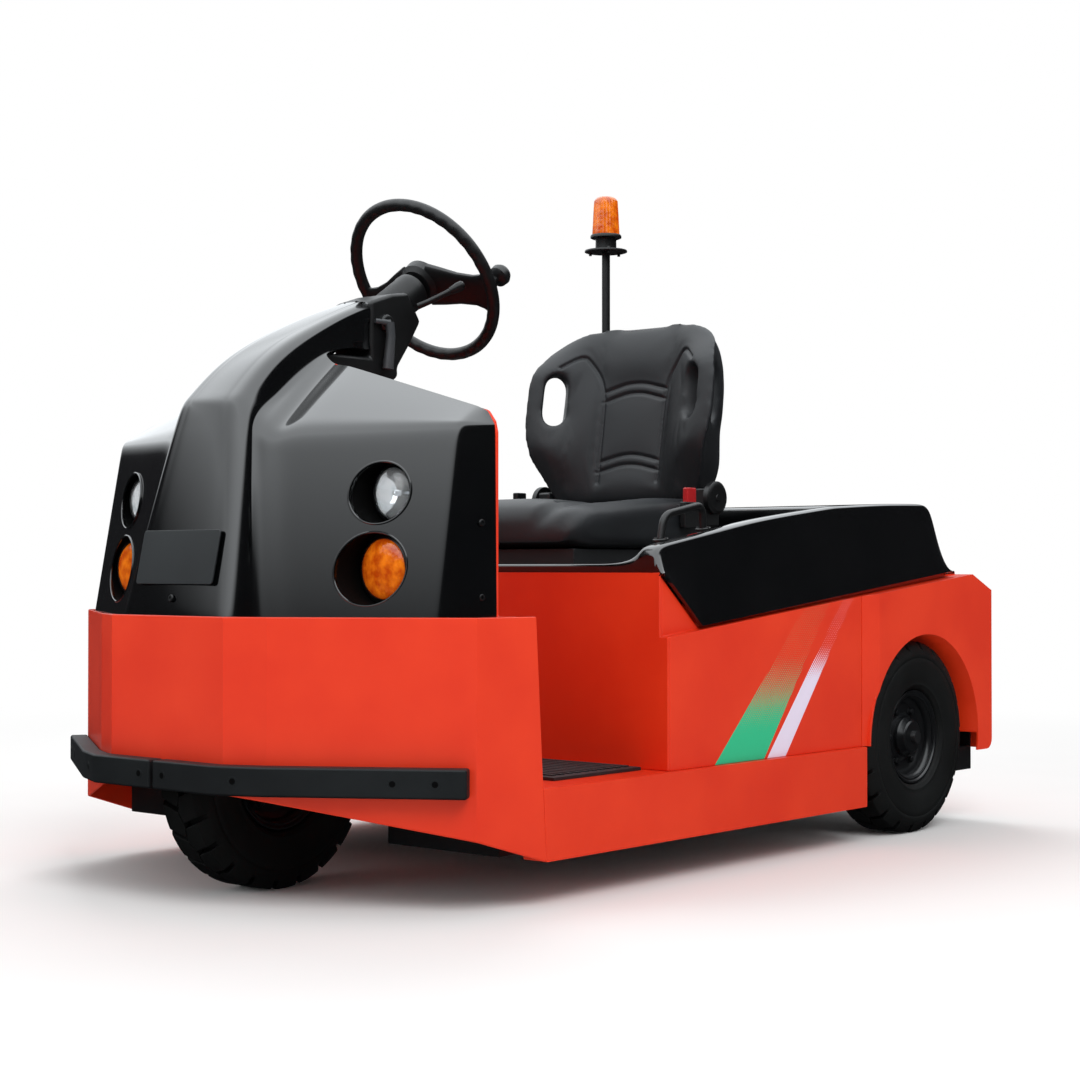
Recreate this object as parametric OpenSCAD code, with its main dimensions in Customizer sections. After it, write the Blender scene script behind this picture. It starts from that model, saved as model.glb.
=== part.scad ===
// Three-wheel sit-on electric tow tractor for airport baggage.
// +X is forward, +Y is the vehicle's left, +Z is up, and the origin lies on the ground at mid length.

/* [Overall] */
// Distance between the front and rear axles
wheelbase = 1587; // [1560:1:1700]
// Nose face to the front axle
front_overhang = 259; // [256:1:300]
// Rear axle to the tail face
rear_overhang = 345; // [335:1:400]
// Width over the fenders
body_w = 1222; // [1200:1:1280]
// Thickness of the body sheets
sheet = 6; // [4:0.5:8]
// Height of the sills' lower edge above the ground
sill_z = 88; // [75:1:100]
// Height of the sills
sill_h = 140; // [136:1:150]
// Thickness of a sill from its outer face inwards
sill_t = 60; // [50:1:70]

/* [Nose] */
// Height of the apron's top edge
apron_top_z = 555; // [550:1:580]
// Height of the apron's lower edge at the nose
apron_nose_z = 220; // [200:1:221]
// Half width of the flat nose face
nose_half = 168; // [150:1:180]
// Setback of the short facet's outer edge
facet_back = 37; // [30:1:45]
// Half width at the short facet's outer edge
facet_half = 249; // [235:1:260]
// Setback of the corner between swept face and side
cheek_back = 254; // [240:1:265]
// Inset of that corner from the side of the body
cheek_inset = 28; // [15:1:35]
// Setback of the apron's rear edge at its top
apron_top_l = 396; // [390:1:410]
// Setback of the apron's rear edge at its foot
apron_low_l = 421; // [415:1:430]
// Thickness of the rubber bumper strips
bumper_t = 38; // [25:1:45]
// Height of the rubber bumper strips
bumper_h = 56; // [40:1:70]
// Height of the strips' lower edge
bumper_z = 222; // [221:1:260]
// Gap between the two strips at the middle
bumper_gap = 10; // [6:1:20]
// Length of swept face that a strip leaves bare at its outer end
bumper_end = 12; // [5:1:40]

/* [Hood] */
// Setback of the bulkhead behind the hood
bulkhead_back = 351; // [345:1:356]
// Inset of the bulkhead above the apron from its foot
bulkhead_step = 47; // [44:1:58]
// Height of the bulkhead's shoulders
shoulder_z = 948; // [935:1:960]
// Height of the bulkhead at its middle
crown_z = 1092; // [1080:1:1100]
// Thickness of the hood's moulding
hood_wall = 8; // [5:0.5:10]
// Height of the crease above the lamps
crease_z = 920; // [910:1:930]
// Headlamp recess diameter
headlamp_d = 119; // [100:1:125]
// Indicator recess diameter
indicator_d = 140; // [120:1:145]
// Height of the headlamp centres
headlamp_z = 790; // [786:1:800]
// Height of the indicator centres
indicator_z = 645; // [640:1:648]
// Lateral place of the lamps
lamp_y = 374; // [360:1:385]
// Width of the blank plate on the hood's spine
plate_w = 230; // [180:1:240]
// Height of the blank plate
plate_h = 108; // [80:1:115]

/* [Steering] */
// Steering wheel outer diameter
wheel_d = 398; // [370:1:410]
// Thickness of the steering wheel's rim
wheel_tube = 25; // [20:1:30]
// Height of the steering wheel's centre
wheel_z = 1282; // [1270:1:1300]
// Setback of the steering wheel's centre from the bulkhead
wheel_back = 370; // [360:1:385]
// Tilt of the steering wheel from level
wheel_tilt = 56; // [52:1:60]

/* [Wheels] */
// Tyre outside diameter
tyre_d = 466; // [450:1:470]
// Tyre width
tyre_w = 130; // [120:1:135]
// Lugs in each of a tyre's two rows
lug_count = 22; // [18:1:22]
// Height of the lugs above the carcass
lug_h = 14; // [10:1:16]
// Diameter of the rim's tyre seat
rim_d = 203.2; // [195:0.1:210]
// Diameter of the rim's flanges
flange_d = 228; // [222:1:232]
// Width over the rim's flanges
rim_w = 100; // [92:1:104]
// Thickness of a rim flange
flange_t = 6; // [4:0.5:8]
// Inset of the rear tyres from the fender's face
rear_inset = 15; // [10:1:20]
// Axle shaft diameter
axle_d = 30; // [24:1:36]
// Radial running clearance of shafts
run_clear = 0.08; // [0.05:0.01:0.1]

/* [Rear body] */
// Setback of the deck wall's front face
deck_back = 825; // [815:1:840]
// Height of the deck wall
deck_z = 637; // [630:1:645]
// Height of the side ledge at its front
ledge_z = 504; // [495:1:510]
// Height of the fender's top at its rear edge
fender_z = 630; // [622:1:634]
// Inset of the side panels from the fenders
panel_inset = 15; // [10:1:18]
// Width of the side ledge
ledge_w = 21; // [18:1:26]
// Wheel arch radius
arch_r = 258; // [250:1:262]
// Setback of the arch's centre from the rear axle
arch_back = 15; // [10:1:20]
// Height of the arch's centre
arch_z = 226; // [220:1:232]
// Height of the fender's lower edge at the tail
tail_low_z = 184; // [175:1:200]
// Height of the tail wall
tail_z = 589; // [580:1:600]
// Length of the chamfer above the tail wall
tail_chamfer = 99; // [85:1:105]

/* [Battery cover] */
// Rear axle to the cover's rear foot
cover_overhang = 193; // [185:1:200]
// Height of the cover's top
cover_z = 806; // [800:1:820]
// Thickness of the cover's moulding
cover_wall = 8; // [6:0.5:10]
// Shut gap around the cover
cover_gap = 5; // [5:0.5:8]
// Inset of the cover's foot from the side panels
cover_inset = 8; // [6:0.5:10]
// Inset of the cover's top edge from its foot
cover_lean = 30; // [20:1:40]
// Depth of the seat's recess from its front end
recess_l = 726; // [715:1:760]
// Inset of the recess's floor from the cover's foot
recess_side = 168; // [158:1:180]

/* [Seat] */
// Setback of the cushion from the deck wall
seat_back_off = 116; // [105:1:125]
// Length of the cushion
cushion_l = 500; // [480:1:510]
// Width of the cushion
cushion_w = 510; // [480:1:530]
// Thickness of the cushion
cushion_t = 124; // [110:1:135]
// Height of the seat pan
pan_h = 35; // [25:1:45]
// Height of the backrest above the cushion's foot
backrest_h = 574; // [540:1:600]
// How far the backrest stands out beside the cushion
backrest_side = 15; // [5:1:18]
// Lean of the backrest from upright
backrest_lean = 9; // [7:0.5:12]

/* [Beacon] */
// Height of the beacon's top
beacon_top_z = 1648; // [1600:1:1700]
// Diameter of the beacon's pole
pole_d = 22; // [18:1:26]
// Diameter of the amber dome
dome_d = 74; // [65:1:80]
// Height of the amber dome
dome_h = 103; // [90:1:110]

/* [Tow hitch] */
// Length of the hitch behind the tail
hitch_l = 95; // [85:1:110]
// Radius of the hitch's pin bore
hitch_bore_r = 16; // [14:0.5:18]
// Height of the hitch's middle
hitch_z = 330; // [320:1:360]
// Gap between two jaws of the hitch
jaw_gap = 50; // [45:1:60]
// Thickness of a jaw
jaw_t = 16; // [14:1:20]

/* [Hidden] */

$fn = 64;
hull_fn = 32;
// Seam left between two pieces that meet, running gap at a thrust face, and overrun of a cut
seam = 0.3;
cut = 20;

// Stations along the length
half_w = body_w / 2;
body_l = front_overhang + wheelbase + rear_overhang;
total_l = bumper_t + body_l + hitch_l;
nose_x = total_l / 2 - bumper_t;
front_axle_x = nose_x - front_overhang;
rear_axle_x = front_axle_x - wheelbase;
tail_x = rear_axle_x - rear_overhang;
bulkhead_x = nose_x - bulkhead_back;
deck_x = nose_x - deck_back;
arch_x = rear_axle_x - arch_back;
floor_z = sill_z + sill_h;
axle_z = tyre_d / 2;
panel_y = half_w - panel_inset;
wall_y = panel_y - ledge_w;
lip_in = 15;
lip_h = 60;
inner_y = wall_y - lip_in - sheet;

// The fender starts where the arch meets the sill, and steps out over a short return
sill_end_x = arch_x + arch_r + panel_inset + sheet;
step_l = 56;
panel_end_x = sill_end_x;
step_x = panel_end_x - step_l;
chamfer_x = tail_x + tail_chamfer;

// The battery cover's length, and the station where its foot reaches the ledge
cover_tip_share = 0.116;
cover_back_x = rear_axle_x - cover_overhang;
cover_l = deck_x - cover_back_x;
tip_x = deck_x - cover_tip_share * cover_l;

// Colours of the finishes
paint = "#e23a1c";
gloss = "#17181a";
matt = "#26282a";
rubber = "#1d2022";
steel = "#8d9196";
amber = "#f58a12";
clear = "#e8ecee";

// Plan of the nose: outer half path from the middle to the rear edge
nose_path = [[nose_x, nose_half], [nose_x - facet_back, facet_half],
    [nose_x - cheek_back, half_w - cheek_inset], [nose_x - apron_low_l, half_w]];

// Left normal of a step, and a path moved sideways with mitred corners
function step_normal(a, b) = let (d = b - a) [-d[1], d[0]] / norm(d);
function corner_shift(p, i, t) = let (
    last = len(p) - 1,
    before = i > 0 ? step_normal(p[i - 1], p[i]) : step_normal(p[0], p[1]),
    after = i < last ? step_normal(p[i], p[i + 1]) : before,
    m = before + after) p[i] + m * 2 * t / (m * m);
function shifted(p, t) = [for (i = [0 : len(p) - 1]) corner_shift(p, i, t)];
function reversed(p) = [for (i = [len(p) - 1 : -1 : 0]) p[i]];
function flipped(p) = [for (q = p) [q[0], -q[1]]];
function both_halves(p) = concat(reversed(flipped(p)), p);
function band(p, t) = concat(p, reversed(shifted(p, t)));
function mixed(a, b, s) = a + (b - a) * s;
function arc(c, r, a0, a1, n) = [for (i = [0 : n]) let (a = mixed(a0, a1, i / n)) c + r * [cos(a), sin(a)]];

// Inner face of the apron's side at a station, and its raked rear edge at a height
function cheek_y(x) = let (a = nose_path[2], b = nose_path[3]) mixed(a[1], b[1], (x - a[0]) / (b[0] - a[0]));
function apron_end_x(z) = nose_x - mixed(apron_low_l, apron_top_l, (z - sill_z) / (apron_top_z - sill_z));

// Height of the sloping side ledge at a station, and of the wall behind it
function ledge_at(x) = mixed(ledge_z, fender_z, (deck_x - x) / (deck_x - chamfer_x));
function wall_top_at(x) = mixed(ledge_z + lip_h, deck_z, (deck_x - x) / (deck_x - chamfer_x));

// A plate along Y from an outline in X and Z, one along X from an outline in Y and Z, and one along Z
module side_plate(p, y, t) translate([0, y + t, 0]) rotate([90, 0, 0]) linear_extrude(height = t) polygon(p);
module cross_plate(p, x, t) translate([x, 0, 0]) rotate([90, 0, 90]) linear_extrude(height = t) polygon(p);
module flat_plate(p, z, t) translate([0, 0, z]) linear_extrude(height = t) polygon(p);
module box(low, high) translate(low) cube(high - low);
module points_hull(p) hull()
    polyhedron(points = p, faces = [for (i = [0 : len(p) - 3]) [i, i + 1, i + 2]]);
module both_sides() {
    children();
    mirror([0, 1, 0]) children();
}
module along_y(y, l, r) translate([0, y, 0]) rotate([-90, 0, 0]) cylinder(h = l, r = r);

// Nose: one bent sheet, its lower edge rising to the nose, and two rubber strips along it
module front_apron() {
    outline = [[nose_x + cut, apron_top_z], [nose_x + cut, apron_nose_z], [nose_x, apron_nose_z],
        [nose_x - apron_low_l, sill_z], [nose_x - apron_top_l, apron_top_z]];
    color(paint) intersection() {
        flat_plate(band(both_halves(nose_path), sheet), 0, apron_top_z + cut);
        side_plate(outline, -body_w, body_w * 2);
    }
}

strip_turn = nose_path[2] - nose_path[1];
strip_path = [[nose_x, bumper_gap / 2], nose_path[0], nose_path[1],
    nose_path[2] - strip_turn * bumper_end / norm(strip_turn)];

module bumper_strips() color(rubber) both_sides()
    flat_plate(band(strip_path, -bumper_t), bumper_z, bumper_h);

// Bulkhead: upper plate behind the hood, and the box that clears the steered wheel
crown_share = 0.72;
swept_r = norm([tyre_d, tyre_w * crown_share]) / 2;
steer_gap = 14;
wheel_box_back = front_axle_x - swept_r - steer_gap;
wheel_box_half = swept_r + steer_gap;
fork_gap = 12;
bridge_t = 20;
bridge_z = tyre_d + fork_gap;
bridge_top_z = bridge_z + bridge_t;
wheel_box_z = bridge_top_z + fork_gap / 2;
shoulder_in = 23;
shoulder_drop = 43;
shoulder_bow_shares = [0.25, 0.5];

cheek_run = nose_path[3] - nose_path[2];
cheek_t = sheet * norm(cheek_run) / abs(cheek_run[0]);
bulkhead_foot = cheek_y(bulkhead_x) - cheek_t - seam;
bulkhead_half = bulkhead_foot - bulkhead_step;
bulkhead_line = [[bulkhead_foot, floor_z], [bulkhead_foot, apron_top_z],
    [bulkhead_half, apron_top_z], [bulkhead_half, shoulder_z - shoulder_drop],
    [bulkhead_half - shoulder_in * shoulder_bow_shares[0],
        shoulder_z - shoulder_drop * shoulder_bow_shares[1]],
    [bulkhead_half - shoulder_in, shoulder_z], [0, crown_z]];

module bulkhead() color(paint) {
    mouth = wheel_box_half;
    difference() {
        union() {
            cross_plate(concat(bulkhead_line, reversed([for (q = bulkhead_line) [-q[0], q[1]]])),
                bulkhead_x - sheet, sheet);
            box([wheel_box_back - sheet, -mouth - sheet, floor_z],
                [bulkhead_x - sheet / 2, mouth + sheet, wheel_box_z + sheet]);
        }
        box([wheel_box_back, -mouth, floor_z - cut], [bulkhead_x + cut, mouth, wheel_box_z]);
    }
}

// Deck under the hood: closes the apron, and its head carries the fork's stem
deck_t = 8;
deck_drop = 6;
stem_r = 30;
head_r = 70;
head_z = bridge_top_z + seam;
steer_deck_z = apron_top_z - deck_drop - deck_t;
steer_deck_top = steer_deck_z + deck_t;

module steer_deck() color(paint) difference() {
    union() {
        intersection() {
            flat_plate(shifted(both_halves(nose_path), sheet + seam), steer_deck_z, deck_t);
            box([bulkhead_x + seam, -body_w, 0], [nose_x, body_w, apron_top_z]);
        }
        translate([front_axle_x, 0, head_z]) cylinder(h = steer_deck_top - head_z, r = head_r);
    }
    translate([front_axle_x, 0, head_z - cut]) cylinder(h = apron_top_z, r = stem_r + run_clear);
}

// Hood: lamp faces swept back on both sides of a centre spine, which rises into an arch over the column
lamp_in = 150;
lamp_low_back = 78;
lamp_lean = 65;
lamp_narrow = 13;
lamp_out_share = 0.82;
hood_gap = 3;
hood_line = shifted(nose_path, sheet + hood_gap);
lamp_low = [nose_x - lamp_low_back, lamp_in];
lamp_low_out = mixed(hood_line[1], hood_line[2], lamp_out_share);
lamp_top = lamp_low - [lamp_lean, 0];
lamp_top_out = lamp_low_out - [lamp_lean, lamp_narrow];
spine_low_back = 14;
spine_low_half = 165;
valley_back = 92;
valley_half = 190;
spine_top_back = 107;
arch_half = 93;
spine_low = [nose_x - spine_low_back, spine_low_half];
spine_valley = [nose_x - valley_back, valley_half];
spine_top = [nose_x - spine_top_back, arch_half];
spine_shoulder_z = 982;
arch_end_half = 58;
arch_rise = 230;
arch_l = 394;
arch_top_shares = [[0, 0], [0.2, 0.35], [0.44, 0.6], [0.72, 0.82], [1, 1]];
arch_low_shares = [[1, 0.42], [0.7, 0.39], [0.6, 0.32], [0.39, 0.09], [0.2, -0.22]];
hood_back_gap = bulkhead_x + seam;

function with_z(p, z, t) = [p[0] - t, p[1] - t, z];
function mirrored3(p) = concat(p, [for (q = p) [q[0], -q[1], q[2]]]);

module hood_body(t, low) {
    back = hood_back_gap - (t > 0 ? cut : 0);
    points_hull(mirrored3([
        with_z(lamp_low, low, t), with_z(lamp_low_out, low, t), [back, bulkhead_half - t, low],
        with_z(lamp_top, crease_z - t, t), with_z(lamp_top_out, crease_z - t, t),
        [back, bulkhead_half - t, shoulder_z - shoulder_drop - t],
        [back, bulkhead_half - shoulder_in - t, shoulder_z - t], [back, seam, crown_z - t]]));
}

module hood_spine(t, low) points_hull(mirrored3([
    with_z(spine_low, low, t), with_z(spine_valley, low, t), with_z(spine_top, spine_shoulder_z - t, t),
    [bulkhead_x + cut, arch_half - t, spine_shoulder_z - t], [bulkhead_x + cut, spine_valley[1] - t, low]]));

function arch_point(s) = [spine_top[0] - s[0] * arch_l, spine_shoulder_z + s[1] * arch_rise];

module hood_arch() intersection() {
    side_plate([for (s = concat(arch_top_shares, arch_low_shares)) arch_point(s)], -arch_half, arch_half * 2);
    flat_plate(both_halves([[spine_top[0] + seam, arch_half], [spine_top[0] - arch_l, arch_end_half]]),
        0, spine_shoulder_z + arch_rise + cut);
}

recess_depth = 62;
module lamp_places(z) for (side = [-1, 1]) translate([0, side * lamp_y, z]) rotate([0, 90, 0]) children();
function lamp_face_x(z) = let (s = (z - steer_deck_top) / (crease_z - steer_deck_top),
    a = mixed(lamp_low, lamp_top, s), b = mixed(lamp_low_out, lamp_top_out, s))
    mixed(a[0], b[0], (lamp_y - a[1]) / (b[1] - a[1]));

module lamp_pocket(z, d, grow) lamp_places(z)
    translate([0, 0, lamp_face_x(z) - recess_depth - grow]) cylinder(h = recess_depth * 3, d = d + grow * 2);

module front_hood() color(gloss) difference() {
    union() {
        difference() {
            union() {
                hood_body(0, steer_deck_top);
                hood_spine(0, steer_deck_top);
            }
            hood_body(hood_wall, steer_deck_top - cut);
            hood_spine(hood_wall, steer_deck_top - cut);
        }
        intersection() {
            union() {
                lamp_pocket(headlamp_z, headlamp_d, hood_wall);
                lamp_pocket(indicator_z, indicator_d, hood_wall);
            }
            hood_body(0, steer_deck_top);
        }
        difference() {
            hood_arch();
            box([-total_l, -body_w, 0], [bulkhead_x + seam, body_w, crown_z + seam]);
        }
    }
    lamp_pocket(headlamp_z, headlamp_d, 0);
    lamp_pocket(indicator_z, indicator_d, 0);
}

// Blank plate on the spine's leaning front face
plate_t = 5;
plate_z = 667;
spine_lean = atan2(spine_low[0] - spine_top[0], spine_shoulder_z - steer_deck_top);
plate_x = mixed(spine_low[0], spine_top[0], (plate_z - steer_deck_top) / (spine_shoulder_z - steer_deck_top));

module hood_plate() color(matt) translate([plate_x, 0, plate_z]) rotate([0, -spine_lean, 0])
    translate([seam, -plate_w / 2, -plate_h / 2]) cube([plate_t, plate_w, plate_h]);

// Lamps at the foot of their recesses: a round body with a bowed lens
lens_share = 0.8;
lens_bow = 14;
lamp_t = 24;
module lamp(z, d) lamp_places(z) translate([0, 0, lamp_face_x(z) - recess_depth]) {
    cylinder(h = lamp_t, d = d - seam * 2);
    translate([0, 0, lamp_t]) scale([1, 1, lens_bow * 2 / (d * lens_share)])
        intersection() {
            sphere(d = d * lens_share, $fn = hull_fn);
            cylinder(h = d, d = d);
        }
}
module headlamps() color(clear) lamp(headlamp_z, headlamp_d);
module indicators() color(amber) lamp(indicator_z, indicator_d);

// Steering column: cover behind the arch, head tube along the wheel's axis
column_l = 153;
column_rise = 291;
column_shares = [[0, 0.9], [0.415, 0.973], [0.737, 1], [1, 0.794], [0.763, 0.601], [0.534, 0.433],
    [0.547, 0.368], [0.129, 0.206]];
column_x = spine_top[0] - arch_l - seam;
column_front_x = bulkhead_x - sheet - seam;
column_z = spine_shoulder_z + arch_rise - column_rise * column_shares[0][1];
shaft_r = 16;
collar_r = 30;
shaft_l = 70;
hub_r = 42;
hub_t = 34;
wheel_x = bulkhead_x - wheel_back;
head_drop = 42;
head_l = 120;

module at_wheel() translate([wheel_x, 0, wheel_z]) rotate([0, -wheel_tilt, 0]) children();

function column_point(s) = [column_x - s[0] * column_l, column_z + s[1] * column_rise];

module column_cover() color(matt) difference() {
    union() {
        side_plate(concat([for (s = column_shares) column_point(s)],
            [[column_front_x, column_z], [column_front_x, crown_z], [column_x, crown_z]]),
            -arch_end_half, arch_end_half * 2);
        at_wheel() translate([0, 0, -head_drop - head_l]) cylinder(h = head_l, r = collar_r);
    }
    at_wheel() translate([0, 0, -head_drop - shaft_l]) cylinder(h = head_l, r = shaft_r + run_clear);
}

spoke_w = 50;
spoke_end_w = 78;
spoke_flare_share = 0.6;
spoke_t = 10;
spoke_turn = 105;
knob_r = 19;
knob_h = 46;
knob_turn = 98;

module steering_wheel() color(matt) at_wheel() {
    ring_r = (wheel_d - wheel_tube) / 2;
    rotate_extrude() translate([ring_r, 0]) circle(d = wheel_tube, $fn = hull_fn);
    translate([0, 0, -hub_t]) cylinder(h = hub_t + spoke_t, r = hub_r);
    for (a = [-spoke_turn, spoke_turn]) rotate([0, 0, a])
        flat_plate(both_halves([[ring_r, spoke_end_w / 2], [ring_r * spoke_flare_share, spoke_w / 2],
            [0, spoke_w / 2]]), -spoke_t / 2, spoke_t);
    translate([0, 0, -head_drop - shaft_l + seam]) cylinder(h = head_drop + shaft_l, r = shaft_r);
    rotate([0, 0, knob_turn]) translate([ring_r, 0, 0]) cylinder(h = knob_h, r = knob_r);
}

// Column levers: a stalk towards the driver's left hand and a hanging tilt handle, each on its boss
boss_r = 13;
boss_l = 16;
stalk_r = 9;
stalk_run = [-59, 70, 45];
stalk_shares = [0.906, 0.904];
handle_shares = [0.266, 0.746];
handle_w = 23;
handle_t = 12;
handle_h = 102;

module column_levers() color(matt) {
    stalk = column_point(stalk_shares);
    handle = column_point(handle_shares);
    for (p = [stalk, handle]) translate([p[0], 0, p[1]]) along_y(arch_end_half + seam, boss_l, boss_r);
    translate([stalk[0], arch_end_half + boss_l / 2, stalk[1]])
        rotate([0, acos(stalk_run[2] / norm(stalk_run)), atan2(stalk_run[1], stalk_run[0])])
        cylinder(h = norm(stalk_run), r = stalk_r);
    box([handle[0] - handle_w, arch_end_half + boss_l / 2, handle[1] + boss_r - handle_h],
        [handle[0], arch_end_half + boss_l / 2 + handle_t, handle[1] + boss_r]);
}

// Footwell: floor between the sills, with a cut for the wheel box, and its ribbed mat
floor_half = half_w - sill_t - seam;
mat_t = 6;
rib_h = 4;
rib_w = 10;
rib_pitch = 22;
mat_margin = 14;
mat_front = wheel_box_back - sheet - mat_margin;
mat_back = deck_x + mat_margin;

module floor_plate() color(paint) difference() {
    box([deck_x - sheet, -floor_half, floor_z - sheet], [bulkhead_x, floor_half, floor_z]);
    box([wheel_box_back, -wheel_box_half, 0], [bulkhead_x + cut, wheel_box_half, floor_z + cut]);
}

module floor_mat() color(rubber) {
    half = floor_half - mat_margin;
    box([mat_back, -half, floor_z], [mat_front, half, floor_z + mat_t]);
    for (x = [mat_back : rib_pitch : mat_front - rib_w])
        box([x, -half, floor_z + mat_t / 2], [x + rib_w, half, floor_z + mat_t + rib_h]);
}

// Two pedals to the right of the wheel box
pedal_w = 80;
pedal_l = 120;
pedal_t = 10;
pedal_rise = 50;
pedal_gap = 24;
pedal_y = pedal_w + (pedal_gap - wheel_box_half - sheet - floor_half) / 2;
pedal_x = bulkhead_x - sheet - seam;
pedal_arm = 24;

module pedal() {
    high = pedal_rise + pedal_t;
    side_plate([[-pedal_l, 0], [-pedal_l, pedal_t], [-pedal_t, high], [0, high], [0, pedal_rise],
        [-pedal_t, pedal_rise]], -pedal_w, pedal_w);
    box([-pedal_arm - pedal_t, -pedal_w / 2, 0], [-pedal_t, -pedal_w / 3, pedal_rise]);
}

module pedals() color(matt) for (i = [0, 1])
    translate([pedal_x, pedal_y - i * (pedal_w + pedal_gap), floor_z]) pedal();

// Sills: box sections from the apron to the wheel arch
module sill() color(paint) side_plate([[apron_end_x(sill_z), sill_z], [apron_end_x(floor_z), floor_z],
    [sill_end_x, floor_z], [sill_end_x, sill_z]], half_w - sill_t, sill_t);
module sill_left() sill();
module sill_right() mirror([0, 1, 0]) sill();

// Deck wall: front of the battery compartment
module deck_wall() color(paint) {
    line = [[panel_y, floor_z], [panel_y, ledge_at(deck_x)], [wall_y, ledge_at(deck_x)], [wall_y, deck_z]];
    cross_plate(concat(line, reversed([for (q = line) [-q[0], q[1]]])), deck_x - sheet, sheet);
}

// Side panel: outer sheet, sloping ledge, the wall that runs down ahead of the cover, and one inside it
wall_drop = 3;
function front_wall_at(x) = mixed(deck_z, ledge_at(tip_x), (deck_x - x) / (deck_x - tip_x)) - wall_drop;
module ledge_band(x0, x1, y0, y1) side_plate([[x0, ledge_at(x0) - sheet], [x0, ledge_at(x0)],
    [x1, ledge_at(x1)], [x1, ledge_at(x1) - sheet]], y0, y1 - y0);
module inner_wall(x0, x1) side_plate([[x0, ledge_at(x0) - sheet], [x0, wall_top_at(x0)],
    [x1, wall_top_at(x1)], [x1, ledge_at(x1) - sheet]], inner_y, sheet);

module side_panel() color(paint) {
    x0 = deck_x - sheet - seam;
    side_plate([[x0, floor_z], [x0, ledge_at(x0)], [panel_end_x, ledge_at(panel_end_x)],
        [panel_end_x, floor_z]], panel_y - sheet, sheet);
    ledge_band(x0, panel_end_x, inner_y, panel_y);
    side_plate([[x0, ledge_at(x0) - sheet], [x0, front_wall_at(x0)], [tip_x, front_wall_at(tip_x)],
        [tip_x, ledge_at(tip_x) - sheet]], wall_y - sheet, sheet);
    inner_wall(x0, panel_end_x);
}
module side_panel_left() side_panel();
module side_panel_right() mirror([0, 1, 0]) side_panel();

// Fender: return, outer sheet with its arch, ledge, inner wall, wheel housing and rear corner
house_gap = 30;
house_y = half_w - rear_inset - tyre_w - house_gap;
corner_r = 26;
axle_hole_r = 62;

module arch_hole(r, y, l) translate([arch_x, 0, arch_z]) along_y(y, l, r);

module fender() color(paint) {
    x0 = panel_end_x - seam;
    rear_corner = arc([tail_x + corner_r, tail_low_z + corner_r], corner_r, 180, 270, 8);
    difference() {
        union() {
            side_plate(concat([[step_x, tail_low_z], [step_x, ledge_at(step_x)], [chamfer_x, fender_z],
                [tail_x, tail_z]], rear_corner), half_w - sheet, sheet);
            intersection() {
                flat_plate([[x0, panel_y - sheet], [x0, panel_y], [step_x, half_w], [step_x, half_w - sheet]],
                    0, deck_z);
                side_plate([[x0, floor_z], [x0, ledge_at(x0)], [step_x, ledge_at(step_x)], [step_x, floor_z]],
                    0, body_w);
            }
            ledge_band(x0, step_x, inner_y, panel_y);
            ledge_band(step_x, chamfer_x, inner_y, half_w);
            side_plate([[chamfer_x, fender_z - sheet], [chamfer_x, fender_z], [tail_x, tail_z],
                [tail_x, tail_z - sheet]], inner_y, half_w - inner_y);
            inner_wall(x0, chamfer_x);
            box([tail_x, inner_y, tail_low_z], [tail_x + sheet, half_w - corner_r, tail_z - sheet / 2]);
            box([tail_x, inner_y, tail_low_z + corner_r], [tail_x + sheet, half_w, tail_z - sheet / 2]);
        }
        arch_hole(arch_r, 0, body_w);
    }
    difference() {
        arch_hole(arch_r + sheet, house_y, half_w - sheet / 2 - house_y);
        arch_hole(arch_r, house_y + sheet, body_w);
        box([tail_x - cut, 0, -arch_r], [deck_x, body_w, floor_z]);
        translate([rear_axle_x, 0, axle_z]) along_y(0, body_w, axle_hole_r);
    }
}
module fender_left() fender();
module fender_right() mirror([0, 1, 0]) fender();

// Rear wall: one bent sheet from the cover's hinge down to the tail's lower edge, with the hinge pin's lugs
hinge_r = 6;
knuckle_r = 11;
hinge_x = rear_axle_x - cover_overhang - knuckle_r - seam;
hinge_z = deck_z + knuckle_r + seam;
lug_w = 20;
hinge_y = 360;
hinge_places = [-hinge_y, hinge_y];
knuckle_l = 60;
rear_half = inner_y - seam;

module rear_wall() color(paint) {
    top_x = hinge_x + knuckle_r * 2;
    path = [[tail_x, tail_low_z], [tail_x, tail_z], [chamfer_x, fender_z], [top_x, fender_z]];
    side_plate(band(path, -sheet), -rear_half, rear_half * 2);
    for (y = hinge_places) translate([hinge_x, y, hinge_z]) {
        along_y(-knuckle_l / 2 - lug_w, knuckle_l + lug_w * 2, hinge_r);
        for (s = [-1, 1]) translate([0, s * (knuckle_l + lug_w + seam * 2) / 2 - lug_w / 2, 0]) {
            along_y(0, lug_w, knuckle_r);
            box([-knuckle_r, 0, fender_z - hinge_z - sheet / 2], [hinge_r, lug_w, 0]);
        }
    }
}

// Underframe: rails, cross members and the battery's tray, all below the floor
rail_gap = 46;
rail_w = 60;
rail_y = house_y - rail_gap - rail_w;
rail_z = 128;
tube_r = 45;
rail_top = axle_z - tube_r;
beam_w = 100;
front_beam_z = 100;
tray_end = sill_end_x;

module main_frame() color(rubber) {
    under = floor_z - sheet;
    both_sides() box([tail_x + sheet + seam, rail_y, rail_z], [bulkhead_x, rail_y + rail_w, rail_top]);
    both_sides() box([bulkhead_x - beam_w, wheel_box_half + sheet, front_beam_z],
        [bulkhead_x, floor_half + seam, under]);
    for (x = [deck_x, tray_end]) box([x, -floor_half - seam, rail_z], [x + beam_w, floor_half + seam, under]);
    box([tail_x + sheet + seam, -rear_half, rail_z], [tail_x + sheet + beam_w, rear_half, rail_top]);
    box([tail_x + sheet + seam, -rear_half, rail_z], [tail_x + sheet * 2, rear_half, hitch_z]);
    box([tray_end, -floor_half, under], [deck_x - sheet - seam, floor_half, floor_z]);
}

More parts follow.
